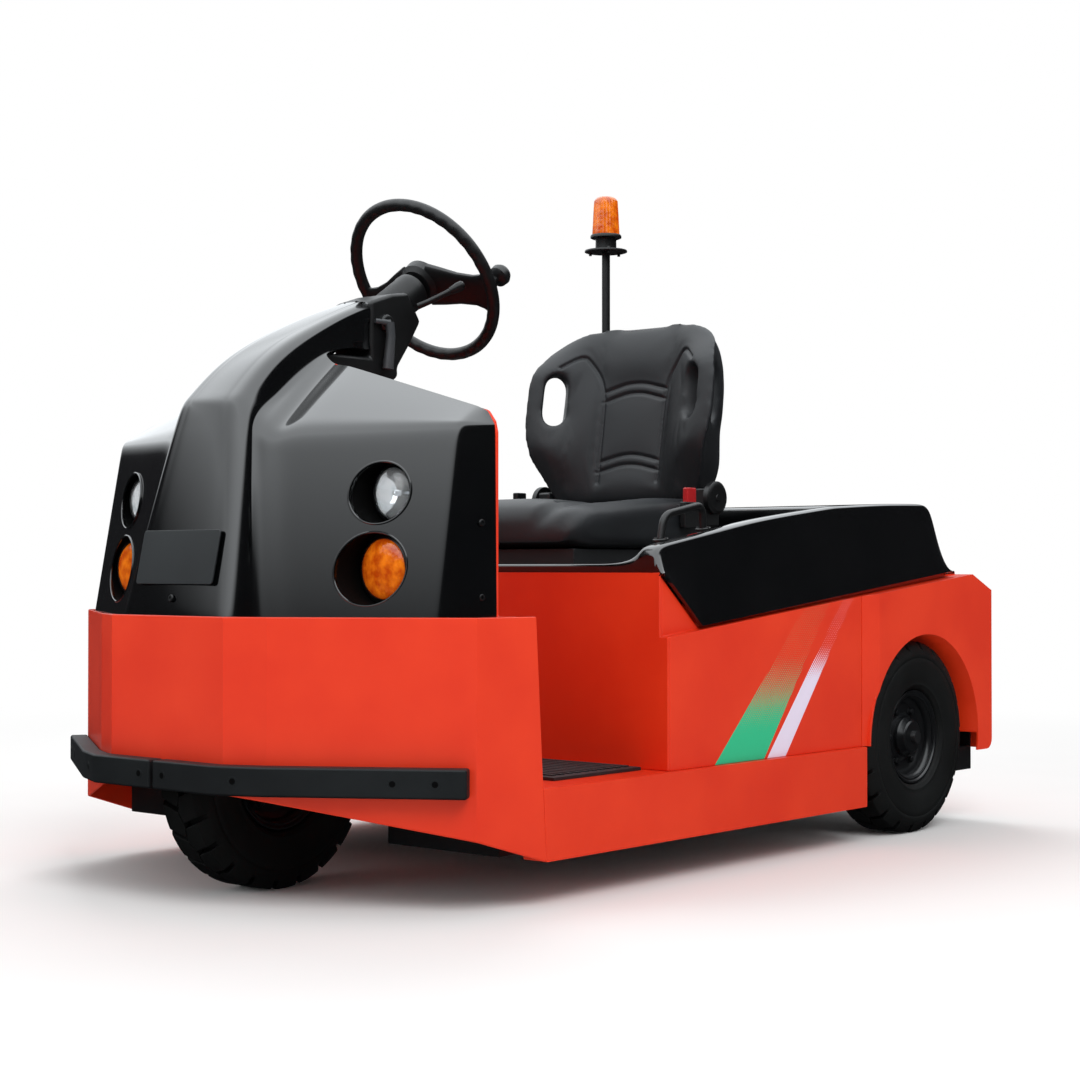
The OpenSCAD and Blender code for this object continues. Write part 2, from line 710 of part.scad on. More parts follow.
// Heavy masses as plain blocks: the battery on its tray and the drive motor in front of the axle
battery_gap = 40;
battery_top_gap = 44;
motor_r = 95;
motor_l = 140;
diff_r = 110;
diff_half = 90;
motor_x = rear_axle_x + diff_r + seam;
recess_lift = 18;
recess_z = deck_z + recess_lift;

module battery() color(steel) {
    half = inner_y - battery_gap;
    box([motor_x + motor_l + battery_gap, -half, floor_z],
        [deck_x - battery_gap, half, recess_z - cover_wall - battery_top_gap]);
}
module drive_motor() color(matt) translate([motor_x, 0, axle_z]) rotate([0, 90, 0])
    cylinder(h = motor_l, r = motor_r);

// Rear axle: tube with its pads on the rails, differential case and stub shafts
pad_l = 90;
collar_axle_r = 55;
case_share = 1.15;
rear_y = half_w - rear_inset - tyre_w / 2;
hub_half = rim_w / 2;
stub_end = 12;

module rear_axle() color(matt) translate([rear_axle_x, 0, axle_z]) {
    along_y(-house_y, house_y * 2, tube_r);
    intersection() {
        along_y(-diff_half, diff_half * 2, diff_r * case_share);
        box([-diff_r, -diff_half, -diff_r], [diff_r, diff_half, diff_r]);
    }
    both_sides() {
        along_y(house_y - sheet, rear_y - hub_half - house_y + sheet - seam, collar_axle_r);
        along_y(0, rear_y + hub_half + stub_end, axle_d / 2);
        box([-pad_l / 2, rail_y, rail_top - axle_z], [pad_l / 2, rail_y + rail_w, 0]);
    }
}

// Fork of the steered wheel: stem, bridge, two arms and the axle
arm_in = 80;
arm_t = 15;
arm_l = 100;
stem_top = 20;

module steer_fork() color(matt) translate([front_axle_x, 0, 0]) {
    translate([0, 0, bridge_z]) cylinder(h = steer_deck_top + stem_top - bridge_z, r = stem_r);
    box([-arm_l / 2, -arm_in - arm_t, bridge_z], [arm_l / 2, arm_in + arm_t, bridge_top_z]);
    both_sides() {
        box([-arm_l / 2, arm_in, axle_z], [arm_l / 2, arm_in + arm_t, bridge_z]);
        translate([0, 0, axle_z]) along_y(arm_in, arm_t, arm_l / 2);
    }
    translate([0, 0, axle_z]) along_y(-arm_in - arm_t, (arm_in + arm_t) * 2, axle_d / 2);
}

// Tyres: two rows of swept lugs, half a pitch apart, fused to a carcass of flat facets
wall_shares = [[0.5, 1], [0.3, 0.97], [0.16, 0.84], [0.1, 0.66], [0, 0.66]];
lug_foot_share = 0.86;
groove_w = 11;
lug_sweep = 4.5;
lug_foot_r = tyre_d / 2 - lug_h;
wall_steps = lug_count * 2;
lug_steps = wall_steps * 2;
groove_turn = groove_w / tyre_d * 360 / PI;

function around(r, y, a) = [r * sin(a), y, -r * cos(a)];
function step_turn(j) = floor(j / 2) * 360 / wall_steps + (j % 2) * groove_turn;
function lug_ring(r, y, turn) = [for (j = [0 : lug_steps - 1]) around(r, y, step_turn(j) + turn)];
function wall_ring(r, y) = [for (j = [0 : wall_steps - 1])
    around(r / cos(180 / wall_steps), y, step_turn(j * 2) + lug_sweep)];
function half_points(s) = concat(lug_ring(tyre_d / 2, s * crown_share * tyre_w / 2, lug_sweep),
    lug_ring(lug_foot_r, s * lug_foot_share * tyre_w / 2, lug_sweep),
    [for (b = wall_shares) each wall_ring(mixed(rim_d, tyre_d, b[0]) / 2, s * b[1] * tyre_w / 2)]);
tyre_points = concat(lug_ring(tyre_d / 2, 0, 0), lug_ring(lug_foot_r, 0, 0), half_points(1), half_points(-1));

// Numbers of points: middle of the crown, middle of a groove, then each half's crown edge, lug foot and wall
half_count = lug_steps * 2 + wall_steps * len(wall_shares);
function half_at(s) = lug_steps * 2 + (s > 0 ? 0 : half_count);
function mid_at(j) = j % lug_steps;
function deep_at(j) = lug_steps + j % lug_steps;
function edge_at(s, j) = half_at(s) + j % lug_steps;
function foot_at(s, j) = half_at(s) + lug_steps + j % lug_steps;
function wall_at(s, b, q) = half_at(s) + lug_steps * 2 + wall_steps * b + q % wall_steps;
function four(a, b, c, d) = [[a, b, c], [a, c, d]];
function outward(s, faces) = s > 0 ? faces : [for (f = faces) reversed(f)];

function lug_faces(s, j) = concat(four(mid_at(j), mid_at(j + 1), edge_at(s, j + 1), edge_at(s, j)),
    four(edge_at(s, j), edge_at(s, j + 1), foot_at(s, j + 1), foot_at(s, j)));
function groove_faces(s, j) = concat(four(deep_at(j), deep_at(j + 1), foot_at(s, j + 1), foot_at(s, j)),
    four(edge_at(s, j), mid_at(j), deep_at(j), foot_at(s, j)),
    four(mid_at(j + 1), edge_at(s, j + 1), foot_at(s, j + 1), deep_at(j + 1)),
    four(deep_at(j), mid_at(j), mid_at(j + 1), deep_at(j + 1)));
function shoulder_faces(s, q) = let (j = q * 2) [[foot_at(s, j), foot_at(s, j + 1), wall_at(s, 0, q)],
    [foot_at(s, j + 1), wall_at(s, 0, q + 1), wall_at(s, 0, q)],
    [foot_at(s, j + 1), foot_at(s, j + 2), wall_at(s, 0, q + 1)]];
function wall_faces(s, q) = [for (b = [1 : len(wall_shares) - 1])
    each four(wall_at(s, b - 1, q), wall_at(s, b - 1, q + 1), wall_at(s, b, q + 1), wall_at(s, b, q))];
function half_faces(s) = outward(s, concat(
    [for (j = [0 : lug_steps - 1]) each j % 4 == 1 - s ? groove_faces(s, j) : lug_faces(s, j)],
    [for (q = [0 : wall_steps - 1]) each concat(shoulder_faces(s, q), wall_faces(s, q))]));
last_wall = len(wall_shares) - 1;
bore_faces = [for (q = [0 : wall_steps - 1]) each four(wall_at(1, last_wall, q),
    wall_at(1, last_wall, q + 1), wall_at(-1, last_wall, q + 1), wall_at(-1, last_wall, q))];

module tyre() color(rubber) polyhedron(tyre_points, concat(half_faces(1), half_faces(-1), bore_faces));

// Rims, turned about the axle
rim_base_t = 8;
disc_t = 12;
disc_out = 14;
rim_hub_r = 48;

module turned() rotate([-90, 0, 0]) rotate_extrude() children();

module rim(hub) color(matt) {
    seat = rim_d / 2 - seam;
    half = rim_w / 2;
    turned() {
        polygon([[seat - rim_base_t, -half], [flange_d / 2, -half], [flange_d / 2, flange_t - half],
            [seat, flange_t - half], [seat, half - flange_t], [flange_d / 2, half - flange_t],
            [flange_d / 2, half], [seat - rim_base_t, half]]);
        polygon([[rim_hub_r - flange_t, disc_out], [seat - rim_base_t / 2, disc_out],
            [seat - rim_base_t / 2, disc_out + disc_t], [rim_hub_r - flange_t, disc_out + disc_t]]);
        polygon([[axle_d / 2 + run_clear, -hub], [rim_hub_r, -hub], [rim_hub_r, hub],
            [axle_d / 2 + run_clear, hub]]);
    }
}

module at_front() translate([front_axle_x, 0, axle_z]) children();
module at_rear() translate([rear_axle_x, rear_y, axle_z]) children();
module front_tyre() at_front() tyre();
module front_rim() at_front() rim(arm_in - seam);
module rear_tyre_left() at_rear() tyre();
module rear_tyre_right() mirror([0, 1, 0]) at_rear() tyre();
module rear_rim_left() at_rear() rim(hub_half);
module rear_rim_right() mirror([0, 1, 0]) at_rear() rim(hub_half);

// Battery cover: a moulding with leaning sides and a recess for the seat, hinged at its rear foot
cover_foot = deck_z + cover_gap;
cover_rise = cover_z - deck_z;
cover_top_shares = [[0.021, 0.343], [0.148, 0.497], [0.326, 0.71], [0.572, 0.905], [0.761, 0.976],
    [0.924, 1]];
cover_half = panel_y - cover_inset;
recess_half = cover_half - recess_side;
recess_flare = 95;
recess_flare_h = 53;
recess_ramp = 40;

function cover_point(s) = [deck_x - s[0] * cover_l, deck_z + s[1] * cover_rise];

module cover_form(t, low) {
    top = [for (s = cover_top_shares) cover_point(s)];
    half = cover_half - t;
    points_hull(mirrored3(concat(
        [for (i = [0 : len(top) - 1]) [top[i][0] - (i == 0 ? t : 0) + (i == len(top) - 1 ? t : 0),
            half - cover_lean, top[i][1] - t]],
        [[deck_x - t, half - cover_lean, cover_foot - low], [deck_x - t, half, cover_foot - low],
        [tip_x, half, ledge_at(tip_x) + cover_gap - low],
        [cover_back_x + t, half, cover_foot - low]])));
}

module recess_form(t) {
    x_back = deck_x - recess_l - t;
    floor = recess_z - t;
    wide = recess_half + recess_flare + t;
    line = concat([for (a = [0 : 15 : 90]) [wide - recess_flare * cos(a), floor + recess_flare_h * sin(a)]],
        [[wide, cover_z + cut]]);
    intersection() {
        cross_plate(concat(line, reversed([for (q = line) [-q[0], q[1]]])), x_back, recess_l + t + cut);
        side_plate([[deck_x + cut, floor], [deck_x + cut, cover_z + cut],
            [x_back - recess_ramp, cover_z + cut], [x_back, floor]], -body_w, body_w * 2);
    }
}

module battery_cover() color(gloss) difference() {
    union() {
        difference() {
            cover_form(0, 0);
            recess_form(0);
            difference() {
                cover_form(cover_wall, cut);
                recess_form(cover_wall);
            }
        }
        for (y = hinge_places) translate([hinge_x, y, hinge_z]) {
            along_y(-knuckle_l / 2, knuckle_l, knuckle_r);
            translate([0, -knuckle_l / 2, 0]) cube([knuckle_r + cover_wall, knuckle_l, knuckle_r]);
        }
    }
    translate([hinge_x, 0, hinge_z]) along_y(-body_w / 2, body_w, hinge_r + run_clear);
    box([deck_x - sheet - cover_gap, -body_w, 0], [deck_x + cut, body_w, cover_foot]);
}

// Grab handles: bent round bars on the cover's shoulders
bar_d = 18;
bar_l = 165;
bar_h = 48;
bar_in = 33;
bar_y = cover_half - cover_lean - bar_in;
bar_front = 80;

function cover_top_at(x) = let (s = (deck_x - x) / cover_l, t = cover_top_shares,
    k = [for (i = [0 : len(t) - 2]) if (s >= t[i][0] && s <= t[i + 1][0]) i][0])
    deck_z + cover_rise * mixed(t[k][1], t[k + 1][1], (s - t[k][0]) / (t[k + 1][0] - t[k][0]));

bar_x = deck_x - bar_front;
bar_slope = atan2(cover_top_at(bar_x - bar_l) - cover_top_at(bar_x), bar_l);
module grab_handles() color(matt) both_sides()
    translate([bar_x, bar_y, cover_top_at(bar_x) + seam]) rotate([0, bar_slope, 0]) {
        for (x = [0, -bar_l]) translate([x, 0, 0]) cylinder(h = bar_h, d = bar_d);
        translate([-bar_l, 0, bar_h]) rotate([0, 90, 0]) cylinder(h = bar_l, d = bar_d);
        for (x = [0, -bar_l]) translate([x, 0, bar_h]) sphere(d = bar_d, $fn = hull_fn);
    }

// Seat: pan on the recess floor, cushion, winged backrest with grip holes, recliner covers and buckles
seat_x = deck_x - seat_back_off;
cushion_z = recess_z + pan_h + seam;
cushion_end = seat_x - cushion_l;
pan_inset = 30;
cushion_corner = 60;
backrest_w = cushion_w + backrest_side * 2;
backrest_t = 95;
wing_edge = 27;
wing_l = 75;
wing_w = 110;
wing_taper = 44;
backrest_gap = 8;
backrest_lift = 110;
backrest_z = cushion_z + backrest_lift;
backrest_top_r = 150;
backrest_low_r = 110;
grip_w = 44;
grip_h = 95;
grip_in = 65;
grip_y = backrest_w / 2 - grip_in;
grip_z = 260;
recliner_r = 40;
recliner_t = 26;

module seat_pan() color(matt) box([cushion_end - pan_inset, -cushion_w / 2 + pan_inset, recess_z],
    [seat_x - pan_inset, cushion_w / 2 - pan_inset, recess_z + pan_h]);

// The cushion's bolsters stand above its middle, and its front edge rolls down
bolster_w = 105;
bolster_h = 26;
roll_r = 55;
bolster_r = 40;

module seat_cushion() color(matt) {
    half = cushion_w / 2;
    mid = half - cushion_corner;
    top = cushion_z + cushion_t;
    outer = arc([half - bolster_r, top - bolster_r], bolster_r, 0, 90, 6);
    across = concat([[half, cushion_z]], outer, [[half - bolster_w, top - bolster_h]]);
    roll = arc([seat_x - roll_r, top - roll_r], roll_r, 0, 90, 6);
    corner = concat(arc([seat_x - cushion_corner, mid], cushion_corner, 0, 90, 8), [[cushion_end, half]]);
    intersection() {
        flat_plate(concat(corner, reversed(flipped(corner))), cushion_z, cushion_t);
        cross_plate(concat(across, reversed([for (q = across) [-q[0], q[1]]])), cushion_end, cushion_l);
        side_plate(concat([[cushion_end, cushion_z], [seat_x, cushion_z]], roll, [[cushion_end, top]]),
            -half, cushion_w);
    }
}

module at_backrest() translate([cushion_end - backrest_gap, 0, backrest_z]) rotate([0, -backrest_lean, 0])
    children();

module seat_back() color(matt) difference() {
    half = backrest_w / 2;
    high = backrest_h - backrest_lift;
    deep = wing_l + backrest_t;
    dish = [for (a = [0 : 18 : 90]) [wing_l * (1 - cos(a)), half - wing_w + (wing_w - wing_edge) * sin(a)]];
    shell = [for (a = [0 : 18 : 90]) [wing_l - deep * sin(a), half - wing_taper * (1 - cos(a))]];
    front = concat(arc([half - backrest_low_r, backrest_low_r], backrest_low_r, -90, 0, 8),
        arc([half - backrest_top_r, high - backrest_top_r], backrest_top_r, 0, 90, 10));
    at_backrest() difference() {
        intersection() {
            flat_plate(concat(dish, shell, reversed(flipped(concat(dish, shell)))), 0, high);
            cross_plate(concat(front, reversed([for (q = front) [-q[0], q[1]]])), -backrest_t, deep);
        }
        both_sides() for (z = [grip_z, grip_z + grip_h - grip_w]) translate([-backrest_t * 2, grip_y, z])
            rotate([0, 90, 0]) cylinder(h = backrest_t * 4, d = grip_w);
        both_sides() box([-backrest_t * 2, grip_y - grip_w / 2, grip_z],
            [backrest_t * 2, grip_y + grip_w / 2, grip_z + grip_h - grip_w]);
    }
    box([cushion_end - backrest_gap, -cushion_w, 0],
        [seat_x, cushion_w, cushion_z + cushion_t + backrest_gap / 2]);
}

module seat_recliners() color(matt) both_sides()
    translate([cushion_end - backrest_gap, 0, cushion_z + cushion_t])
    along_y(cushion_w / 2 + seam, recliner_t, recliner_r);

buckle_l = 60;
buckle_w = 22;
buckle_h = 70;
buckle_y = cushion_w / 2 + seam;
module belt_buckles() color("#8f1a16") both_sides()
    box([cushion_end + buckle_l, buckle_y, cushion_z + buckle_h],
        [cushion_end + buckle_l * 2, buckle_y + buckle_w, cushion_z + cushion_t + buckle_w]);

// Beacon on its pole, behind the seat to the right
pole_y = -300;
pole_ahead = 294;
pole_x = cover_back_x + pole_ahead;
base_d = 57;
base_h = 32;
disc_d = 115;
disc_h = 5;
ring_d = 84;
ring_h = 10;
foot_d = 70;
foot_h = 8;
dome_z = beacon_top_z - dome_h;

module beacon_stand() color(matt) translate([pole_x, pole_y, 0]) {
    foot_z = cover_top_at(pole_x - foot_d / 2) + seam;
    translate([0, 0, foot_z]) cylinder(h = foot_h, d = foot_d);
    translate([0, 0, foot_z]) cylinder(h = dome_z - foot_z - ring_h, d = pole_d);
    translate([0, 0, dome_z - ring_h - base_h]) cylinder(h = base_h, d = base_d);
    translate([0, 0, dome_z - ring_h - base_h - disc_h]) cylinder(h = disc_h, d = disc_d);
    translate([0, 0, dome_z - ring_h]) cylinder(h = ring_h, d = ring_d);
}

dome_round = 14;
module beacon_lens() color(amber) translate([pole_x, pole_y, dome_z]) rotate_extrude()
    polygon(concat([[0, 0], [dome_d / 2, 0]],
        arc([dome_d / 2 - dome_round, dome_h - dome_round], dome_round, 0, 90, 8), [[0, dome_h]]));

// Tail lamps on the rear wall
lamp_w = 110;
lamp_h = 60;
lamp_deep = 28;
lamp_margin = 4;
tail_lamp_y = rear_half - lamp_w - lamp_margin;
tail_lamp_z = 500;
module tail_lamps() color("#a01c12") both_sides() box([tail_x - lamp_deep, tail_lamp_y, tail_lamp_z],
    [tail_x, tail_lamp_y + lamp_w, tail_lamp_z + lamp_h]);

// Tow hitch: three jaws on a back plate, one bore through all, and a keeper for the loose pin
hitch_half = 55;
hitch_plate = 20;
jaws = 3;
hitch_h = jaws * jaw_t + (jaws - 1) * jaw_gap;
jaw_r = 42;
bore_x = tail_x - hitch_l + jaw_r;
keeper_y = 120;
keeper_r = 28;
keeper_h = 60;
pin_r = 15;
pin_l = 210;
pin_head_r = 24;
pin_head_h = 14;

module tow_hitch() color(matt) difference() {
    union() {
        box([tail_x - hitch_plate, -keeper_y - keeper_r, hitch_z - hitch_h / 2],
            [tail_x, keeper_y + keeper_r, hitch_z + hitch_h / 2]);
        for (i = [0 : jaws - 1]) translate([0, 0, hitch_z - hitch_h / 2 + i * (jaw_t + jaw_gap)]) {
            box([bore_x, -hitch_half, 0], [tail_x - hitch_plate / 2, hitch_half, jaw_t]);
            translate([bore_x, 0, 0]) cylinder(h = jaw_t, r = jaw_r);
        }
        translate([tail_x - hitch_plate - keeper_r, keeper_y, hitch_z]) cylinder(h = keeper_h, r = keeper_r);
        box([tail_x - hitch_plate - keeper_r, keeper_y - keeper_r, hitch_z],
            [tail_x - hitch_plate / 2, keeper_y + keeper_r, hitch_z + keeper_h]);
    }
    translate([bore_x, 0, 0]) cylinder(h = deck_z, r = hitch_bore_r);
    translate([tail_x - hitch_plate - keeper_r, keeper_y, 0]) cylinder(h = deck_z, r = pin_r + run_clear);
}

module tow_pin() color(steel) translate([tail_x - hitch_plate - keeper_r, keeper_y, 0]) {
    top = hitch_z + keeper_h + seam;
    translate([0, 0, top - pin_l]) cylinder(h = pin_l, r = pin_r);
    translate([0, 0, top]) cylinder(h = pin_head_h, r = pin_head_r);
}

front_apron();
bumper_strips();
bulkhead();
steer_deck();
front_hood();
hood_plate();
headlamps();
indicators();
column_cover();
steering_wheel();
column_levers();
floor_plate();
floor_mat();
pedals();
sill_left();
sill_right();
deck_wall();
side_panel_left();
side_panel_right();
fender_left();
fender_right();
rear_wall();
main_frame();
battery();
drive_motor();
rear_axle();
steer_fork();
front_tyre();
front_rim();
rear_tyre_left();
rear_tyre_right();
rear_rim_left();
rear_rim_right();
battery_cover();
grab_handles();
seat_pan();
seat_cushion();
seat_back();
seat_recliners();
belt_buckles();
beacon_stand();
beacon_lens();
tail_lamps();
tow_hitch();
tow_pin();
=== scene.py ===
# %% [markdown]
# # A baggage tug, dressed for a studio picture
# The CAD model gives this tug its sizes, its nodes and its joints. This lesson keeps that frame as it is and
# dresses it: smooth mouldings, padded seat, lugged tyres, lamps, and a procedural finish on every piece.
# Lengths below are in millimetres, as on a workshop drawing, and one factor turns them into Blender's metres.

import math

import bmesh
import bpy
from mathutils import Matrix, Vector, kdtree


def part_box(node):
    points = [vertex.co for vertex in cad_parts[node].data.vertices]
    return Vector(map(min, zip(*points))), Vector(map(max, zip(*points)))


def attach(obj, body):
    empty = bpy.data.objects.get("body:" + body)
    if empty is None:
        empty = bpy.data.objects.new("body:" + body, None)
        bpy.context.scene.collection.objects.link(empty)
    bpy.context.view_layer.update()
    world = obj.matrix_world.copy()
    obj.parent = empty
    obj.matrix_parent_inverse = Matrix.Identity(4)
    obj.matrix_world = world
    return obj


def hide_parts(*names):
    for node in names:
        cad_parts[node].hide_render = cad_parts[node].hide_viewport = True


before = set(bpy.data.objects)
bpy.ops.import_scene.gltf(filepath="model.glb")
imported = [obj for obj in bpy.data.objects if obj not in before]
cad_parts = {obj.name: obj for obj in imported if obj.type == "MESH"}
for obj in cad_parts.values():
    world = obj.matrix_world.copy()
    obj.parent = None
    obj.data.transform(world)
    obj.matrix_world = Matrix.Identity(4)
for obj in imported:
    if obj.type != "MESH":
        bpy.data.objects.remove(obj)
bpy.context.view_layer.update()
MM = 0.001

# %% [markdown]
# ## Finishes
# Real paint, rubber and vinyl are never one flat colour. Each finish here mixes two close tones with a soft
# cloud of noise, lets the same cloud move the roughness a little, and adds a fine grain as bump. A picture
# texture could do this too, but a procedural one has no seams and stays sharp at any distance.

# %% one function for all plain finishes
def linear(code):
    """Turns a colour written as six hex digits into the linear values that Blender's sockets take."""
    parts = [int(code[i : i + 2], 16) / 255 for i in (0, 2, 4)]
    return [p / 12.92 if p <= 0.04045 else ((p + 0.055) / 1.055) ** 2.4 for p in parts] + [1.0]


def wire(tree, made, wanted):
    """Sets a node's inputs; each is a value, or another node's output to link to."""
    for key, value in wanted:
        if isinstance(value, bpy.types.NodeSocket):
            tree.links.new(value, made.inputs[key])
        else:
            made.inputs[key].default_value = value
    return made


def node(tree, kind, *inputs, **named):
    """Adds one shader node and sets its inputs, by their place or by their name."""
    by_name = [(name.replace("_", " "), value) for name, value in named.items()]
    return wire(tree, tree.nodes.new(kind), list(enumerate(inputs)) + by_name)


TONE_STOPS, GRAIN_DEEP = (0.35, 0.65), 0.0006


def finish(name, dark, light, rough, grain, bump, cells=False, cloud_scale=5.0, **shader_values):
    """A finish of two tones, a roughness range and a fine grain, all driven by noise in object space."""
    material = bpy.data.materials.new(name)
    material.use_nodes = True
    tree = material.node_tree
    shader = tree.nodes["Principled BSDF"]
    wire(tree, shader, [(key.replace("_", " "), value) for key, value in shader_values.items()])
    place = node(tree, "ShaderNodeTexCoord").outputs["Object"]
    cloud = node(tree, "ShaderNodeTexNoise", Vector=place, Scale=cloud_scale, Detail=4.0).outputs[0]
    tones = node(tree, "ShaderNodeValToRGB", Fac=cloud)
    for stop, position, code in zip(tones.color_ramp.elements, TONE_STOPS, (dark, light)):
        stop.position, stop.color = position, linear(code)
    spread = node(tree, "ShaderNodeMapRange", Value=cloud, To_Min=rough[0], To_Max=rough[1])
    kind = "ShaderNodeTexVoronoi" if cells else "ShaderNodeTexNoise"
    fine = node(tree, kind, Vector=place, Scale=grain)
    relief = node(tree, "ShaderNodeBump", Strength=bump, Distance=GRAIN_DEEP, Height=fine.outputs[0])
    looks = [("Base Color", tones.outputs["Color"]), ("Roughness", spread.outputs["Result"])]
    wire(tree, shader, looks + [("Normal", relief.outputs["Normal"])])
    return material


# %% the tug's finishes
BODY_COAT = {"Specular_IOR_Level": 0.35, "Coat_Weight": 0.15}
GLOSS_COAT = {"Coat_Weight": 0.9, "Coat_Roughness": 0.04}
PAINT = finish("red_paint", "DC3010", "E53813", (0.34, 0.44), 900.0, 0.02, **BODY_COAT)
GLOSS = finish("gloss_black", "050607", "08090A", (0.10, 0.16), 300.0, 0.004, **GLOSS_COAT)
SATIN = finish("satin_black", "0B0C0D", "121314", (0.36, 0.46), 1400.0, 0.10)
RUBBER = finish("bumper_rubber", "111416", "191D1F", (0.50, 0.62), 700.0, 0.25, Specular_IOR_Level=0.3)
MAT = finish("mat_rubber", "17191B", "222527", (0.55, 0.70), 900.0, 0.30)
TYRE = finish("tyre_rubber", "0C0D0D", "131515", (0.60, 0.76), 600.0, 0.30, Specular_IOR_Level=0.3)
RIM = finish("rim_black", "0D0E10", "151719", (0.28, 0.40), 500.0, 0.06, Coat_Weight=0.2)
FRAME = finish("frame_black", "121315", "1A1B1D", (0.45, 0.60), 400.0, 0.12)
VINYL = finish("vinyl", "15171A", "1B1E21", (0.42, 0.52), 620.0, 0.20, cells=True)
CASE = finish("battery_case", "5C6064", "6C7074", (0.45, 0.60), 300.0, 0.10)
STEEL = finish("bright_steel", "A8ABAE", "C2C5C8", (0.22, 0.36), 500.0, 0.06, Metallic=1.0)
BUCKLE = finish("buckle_red", "A80F14", "C4161B", (0.30, 0.42), 500.0, 0.05)
# Painted shade: a near-black with little shine for the lamp pockets and bolt holes, darker and duller than
# the hood's gloss black.
SHADE_BLACK = finish("pocket_shade_black", "040404", "060607", (0.55, 0.70), 500.0, 0.08, Specular_IOR_Level=0.08)
print("finishes", len(bpy.data.materials))

# %% [markdown]
# ## Painted sheet metal
# The apron, bulkhead, sills, panels and fenders are folded steel sheets, and their CAD solids already have
# the right shape. What a CAD solid lacks is the small round of a folded or dressed edge, which is what
# catches the light. A Weld modifier joins the split corners and a Bevel modifier rounds every edge over an
# angle, so the CAD mesh itself stays untouched.

# %% round the edges of CAD nodes and give them their finish
WELD_MM, NODE_EDGE_DEG = 0.05, 25


def coat(obj, material):
    """Makes a finish the only one on an object."""
    obj.data.materials.clear()
    obj.data.materials.append(material)


def round_edges(obj, round_mm, segments, over_deg):
    """Rounds every edge over an angle with a Bevel modifier."""
    bevel = obj.modifiers.new("round", "BEVEL")
    bevel.width = round_mm * MM
    bevel.segments = segments
    bevel.limit_method = "ANGLE"
    bevel.angle_limit = math.radians(over_deg)
    bevel.harden_normals = True


def dress(names, material, round_mm, segments=3):
    """Gives CAD nodes a finish and softly rounded edges, without touching their meshes."""
    for name in names:
        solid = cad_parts[name]
        coat(solid, material)
        weld = solid.modifiers.new("weld", "WELD")
        weld.merge_threshold = WELD_MM * MM
        round_edges(solid, round_mm, segments, NODE_EDGE_DEG)
    print("dressed", len(names), "nodes in", material.name)


SHEETS = ["front_apron", "bulkhead", "steer_deck", "floor_plate", "sill_left", "sill_right", "deck_wall"]
SHEETS += ["side_panel_left", "side_panel_right", "fender_left", "fender_right", "rear_wall"]
dress(SHEETS, PAINT, 3.0)
dress(["main_frame", "rear_axle", "steer_fork", "drive_motor", "tow_hitch", "seat_pan"], FRAME, 2.5, 2)
dress(["battery"], CASE, 4.0, 2)
dress(["tow_pin"], STEEL, 1.5, 2)

# %% [markdown]
# ## From points to pieces
# Most pieces below are worked out as points and faces in millimetres: a profile turned about an axis, rings
# joined into a skin, or a round bar swept along a path. The modelling tools in edit mode could make the same
# shapes by hand. Written out, they can be read, measured and changed.

# %% sizes, objects and shading
def box_mm(name):
    """Lowest and highest corner of a CAD node, in millimetres."""
    return [Vector(corner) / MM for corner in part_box(name)]


def placed(name, data):
    """A new object in the scene, from a mesh, a lamp or a camera."""
    made = bpy.data.objects.new(name, data)
    bpy.context.scene.collection.objects.link(made)
    return made


def shade(mesh, angle):
    """Smooth shading, apart from edges over an angle."""
    for polygon in mesh.polygons:
        polygon.use_smooth = True
    mesh.set_sharp_from_angle(angle=math.radians(angle))


nose_box = box_mm("front_apron")
print("the apron reaches from", round(nose_box[0].z), "to", round(nose_box[1].z), "mm above the ground")

# %% one piece on one body
PIECE_SHARP_DEG, PIECE_EDGE_DEG = 35, 30


def meshed(parts):
    """A work mesh with the points and faces of some parts."""
    work = bmesh.new()
    for points, faces in parts:
        made = [work.verts.new(p) for p in points]
        for face in faces:
            work.faces.new([made[i] for i in face])
    return work


def piece(name, parts, body, slot, material, round_mm=0.0):
    """Joins point and face lists into one object on a CAD body, with smooth shading and rounded edges."""
    mesh = bpy.data.meshes.new(name)
    work = meshed([([Vector(p) * MM for p in points], faces) for points, faces in parts])
    bmesh.ops.recalc_face_normals(work, faces=work.faces[:])
    work.to_mesh(mesh)
    work.free()
    shade(mesh, PIECE_SHARP_DEG)
    mesh.materials.append(material)
    made = placed(name, mesh)
    if round_mm:
        round_edges(made, round_mm, 3, PIECE_EDGE_DEG)
    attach(made, body)
    return made


# %% skins and turned solids
def skin(rings, closed=True, caps=True):
    """Joins rings of equal length into a skin; closed rings get an end face each."""
    count = len(rings[0])
    points = [p for ring in rings for p in ring]
    faces = []
    for i in range(len(rings) - 1):
        for j in range(count if closed else count - 1):
            k = (j + 1) % count
            faces.append([i * count + j, i * count + k, (i + 1) * count + k, (i + 1) * count + j])
    if caps:
        faces.append(list(range(count))[::-1])
        faces.append([len(points) - count + j for j in range(count)])
    return points, faces


def turned(profile, centre, axis, steps=64):
    """Turns a closed profile of (along, radius) about an axis through a point."""
    axis = Vector(axis).normalized()
    side = axis.orthogonal().normalized()
    third = axis.cross(side)
    rings = []
    for i in range(steps):
        turn = math.tau * i / steps
        spoke = side * math.cos(turn) + third * math.sin(turn)
        rings.append([Vector(centre) + axis * along + spoke * radius for along, radius in profile])
    return skin(rings + rings[:1], caps=False)


def welded(points, faces):
    """Merges the seam where a turned skin meets itself."""
    work = meshed([(points, faces)])
    bmesh.ops.remove_doubles(work, verts=work.verts[:], dist=0.01)
    work.verts.index_update()
    result = [v.co.copy() for v in work.verts], [[v.index for v in f.verts] for f in work.faces]
    work.free()
    return result


def solid_turn(profile, centre, axis, steps=64):
    """A turned solid with its seam merged; a profile that starts and ends on the axis closes by itself."""
    return welded(*turned(profile, centre, axis, steps))


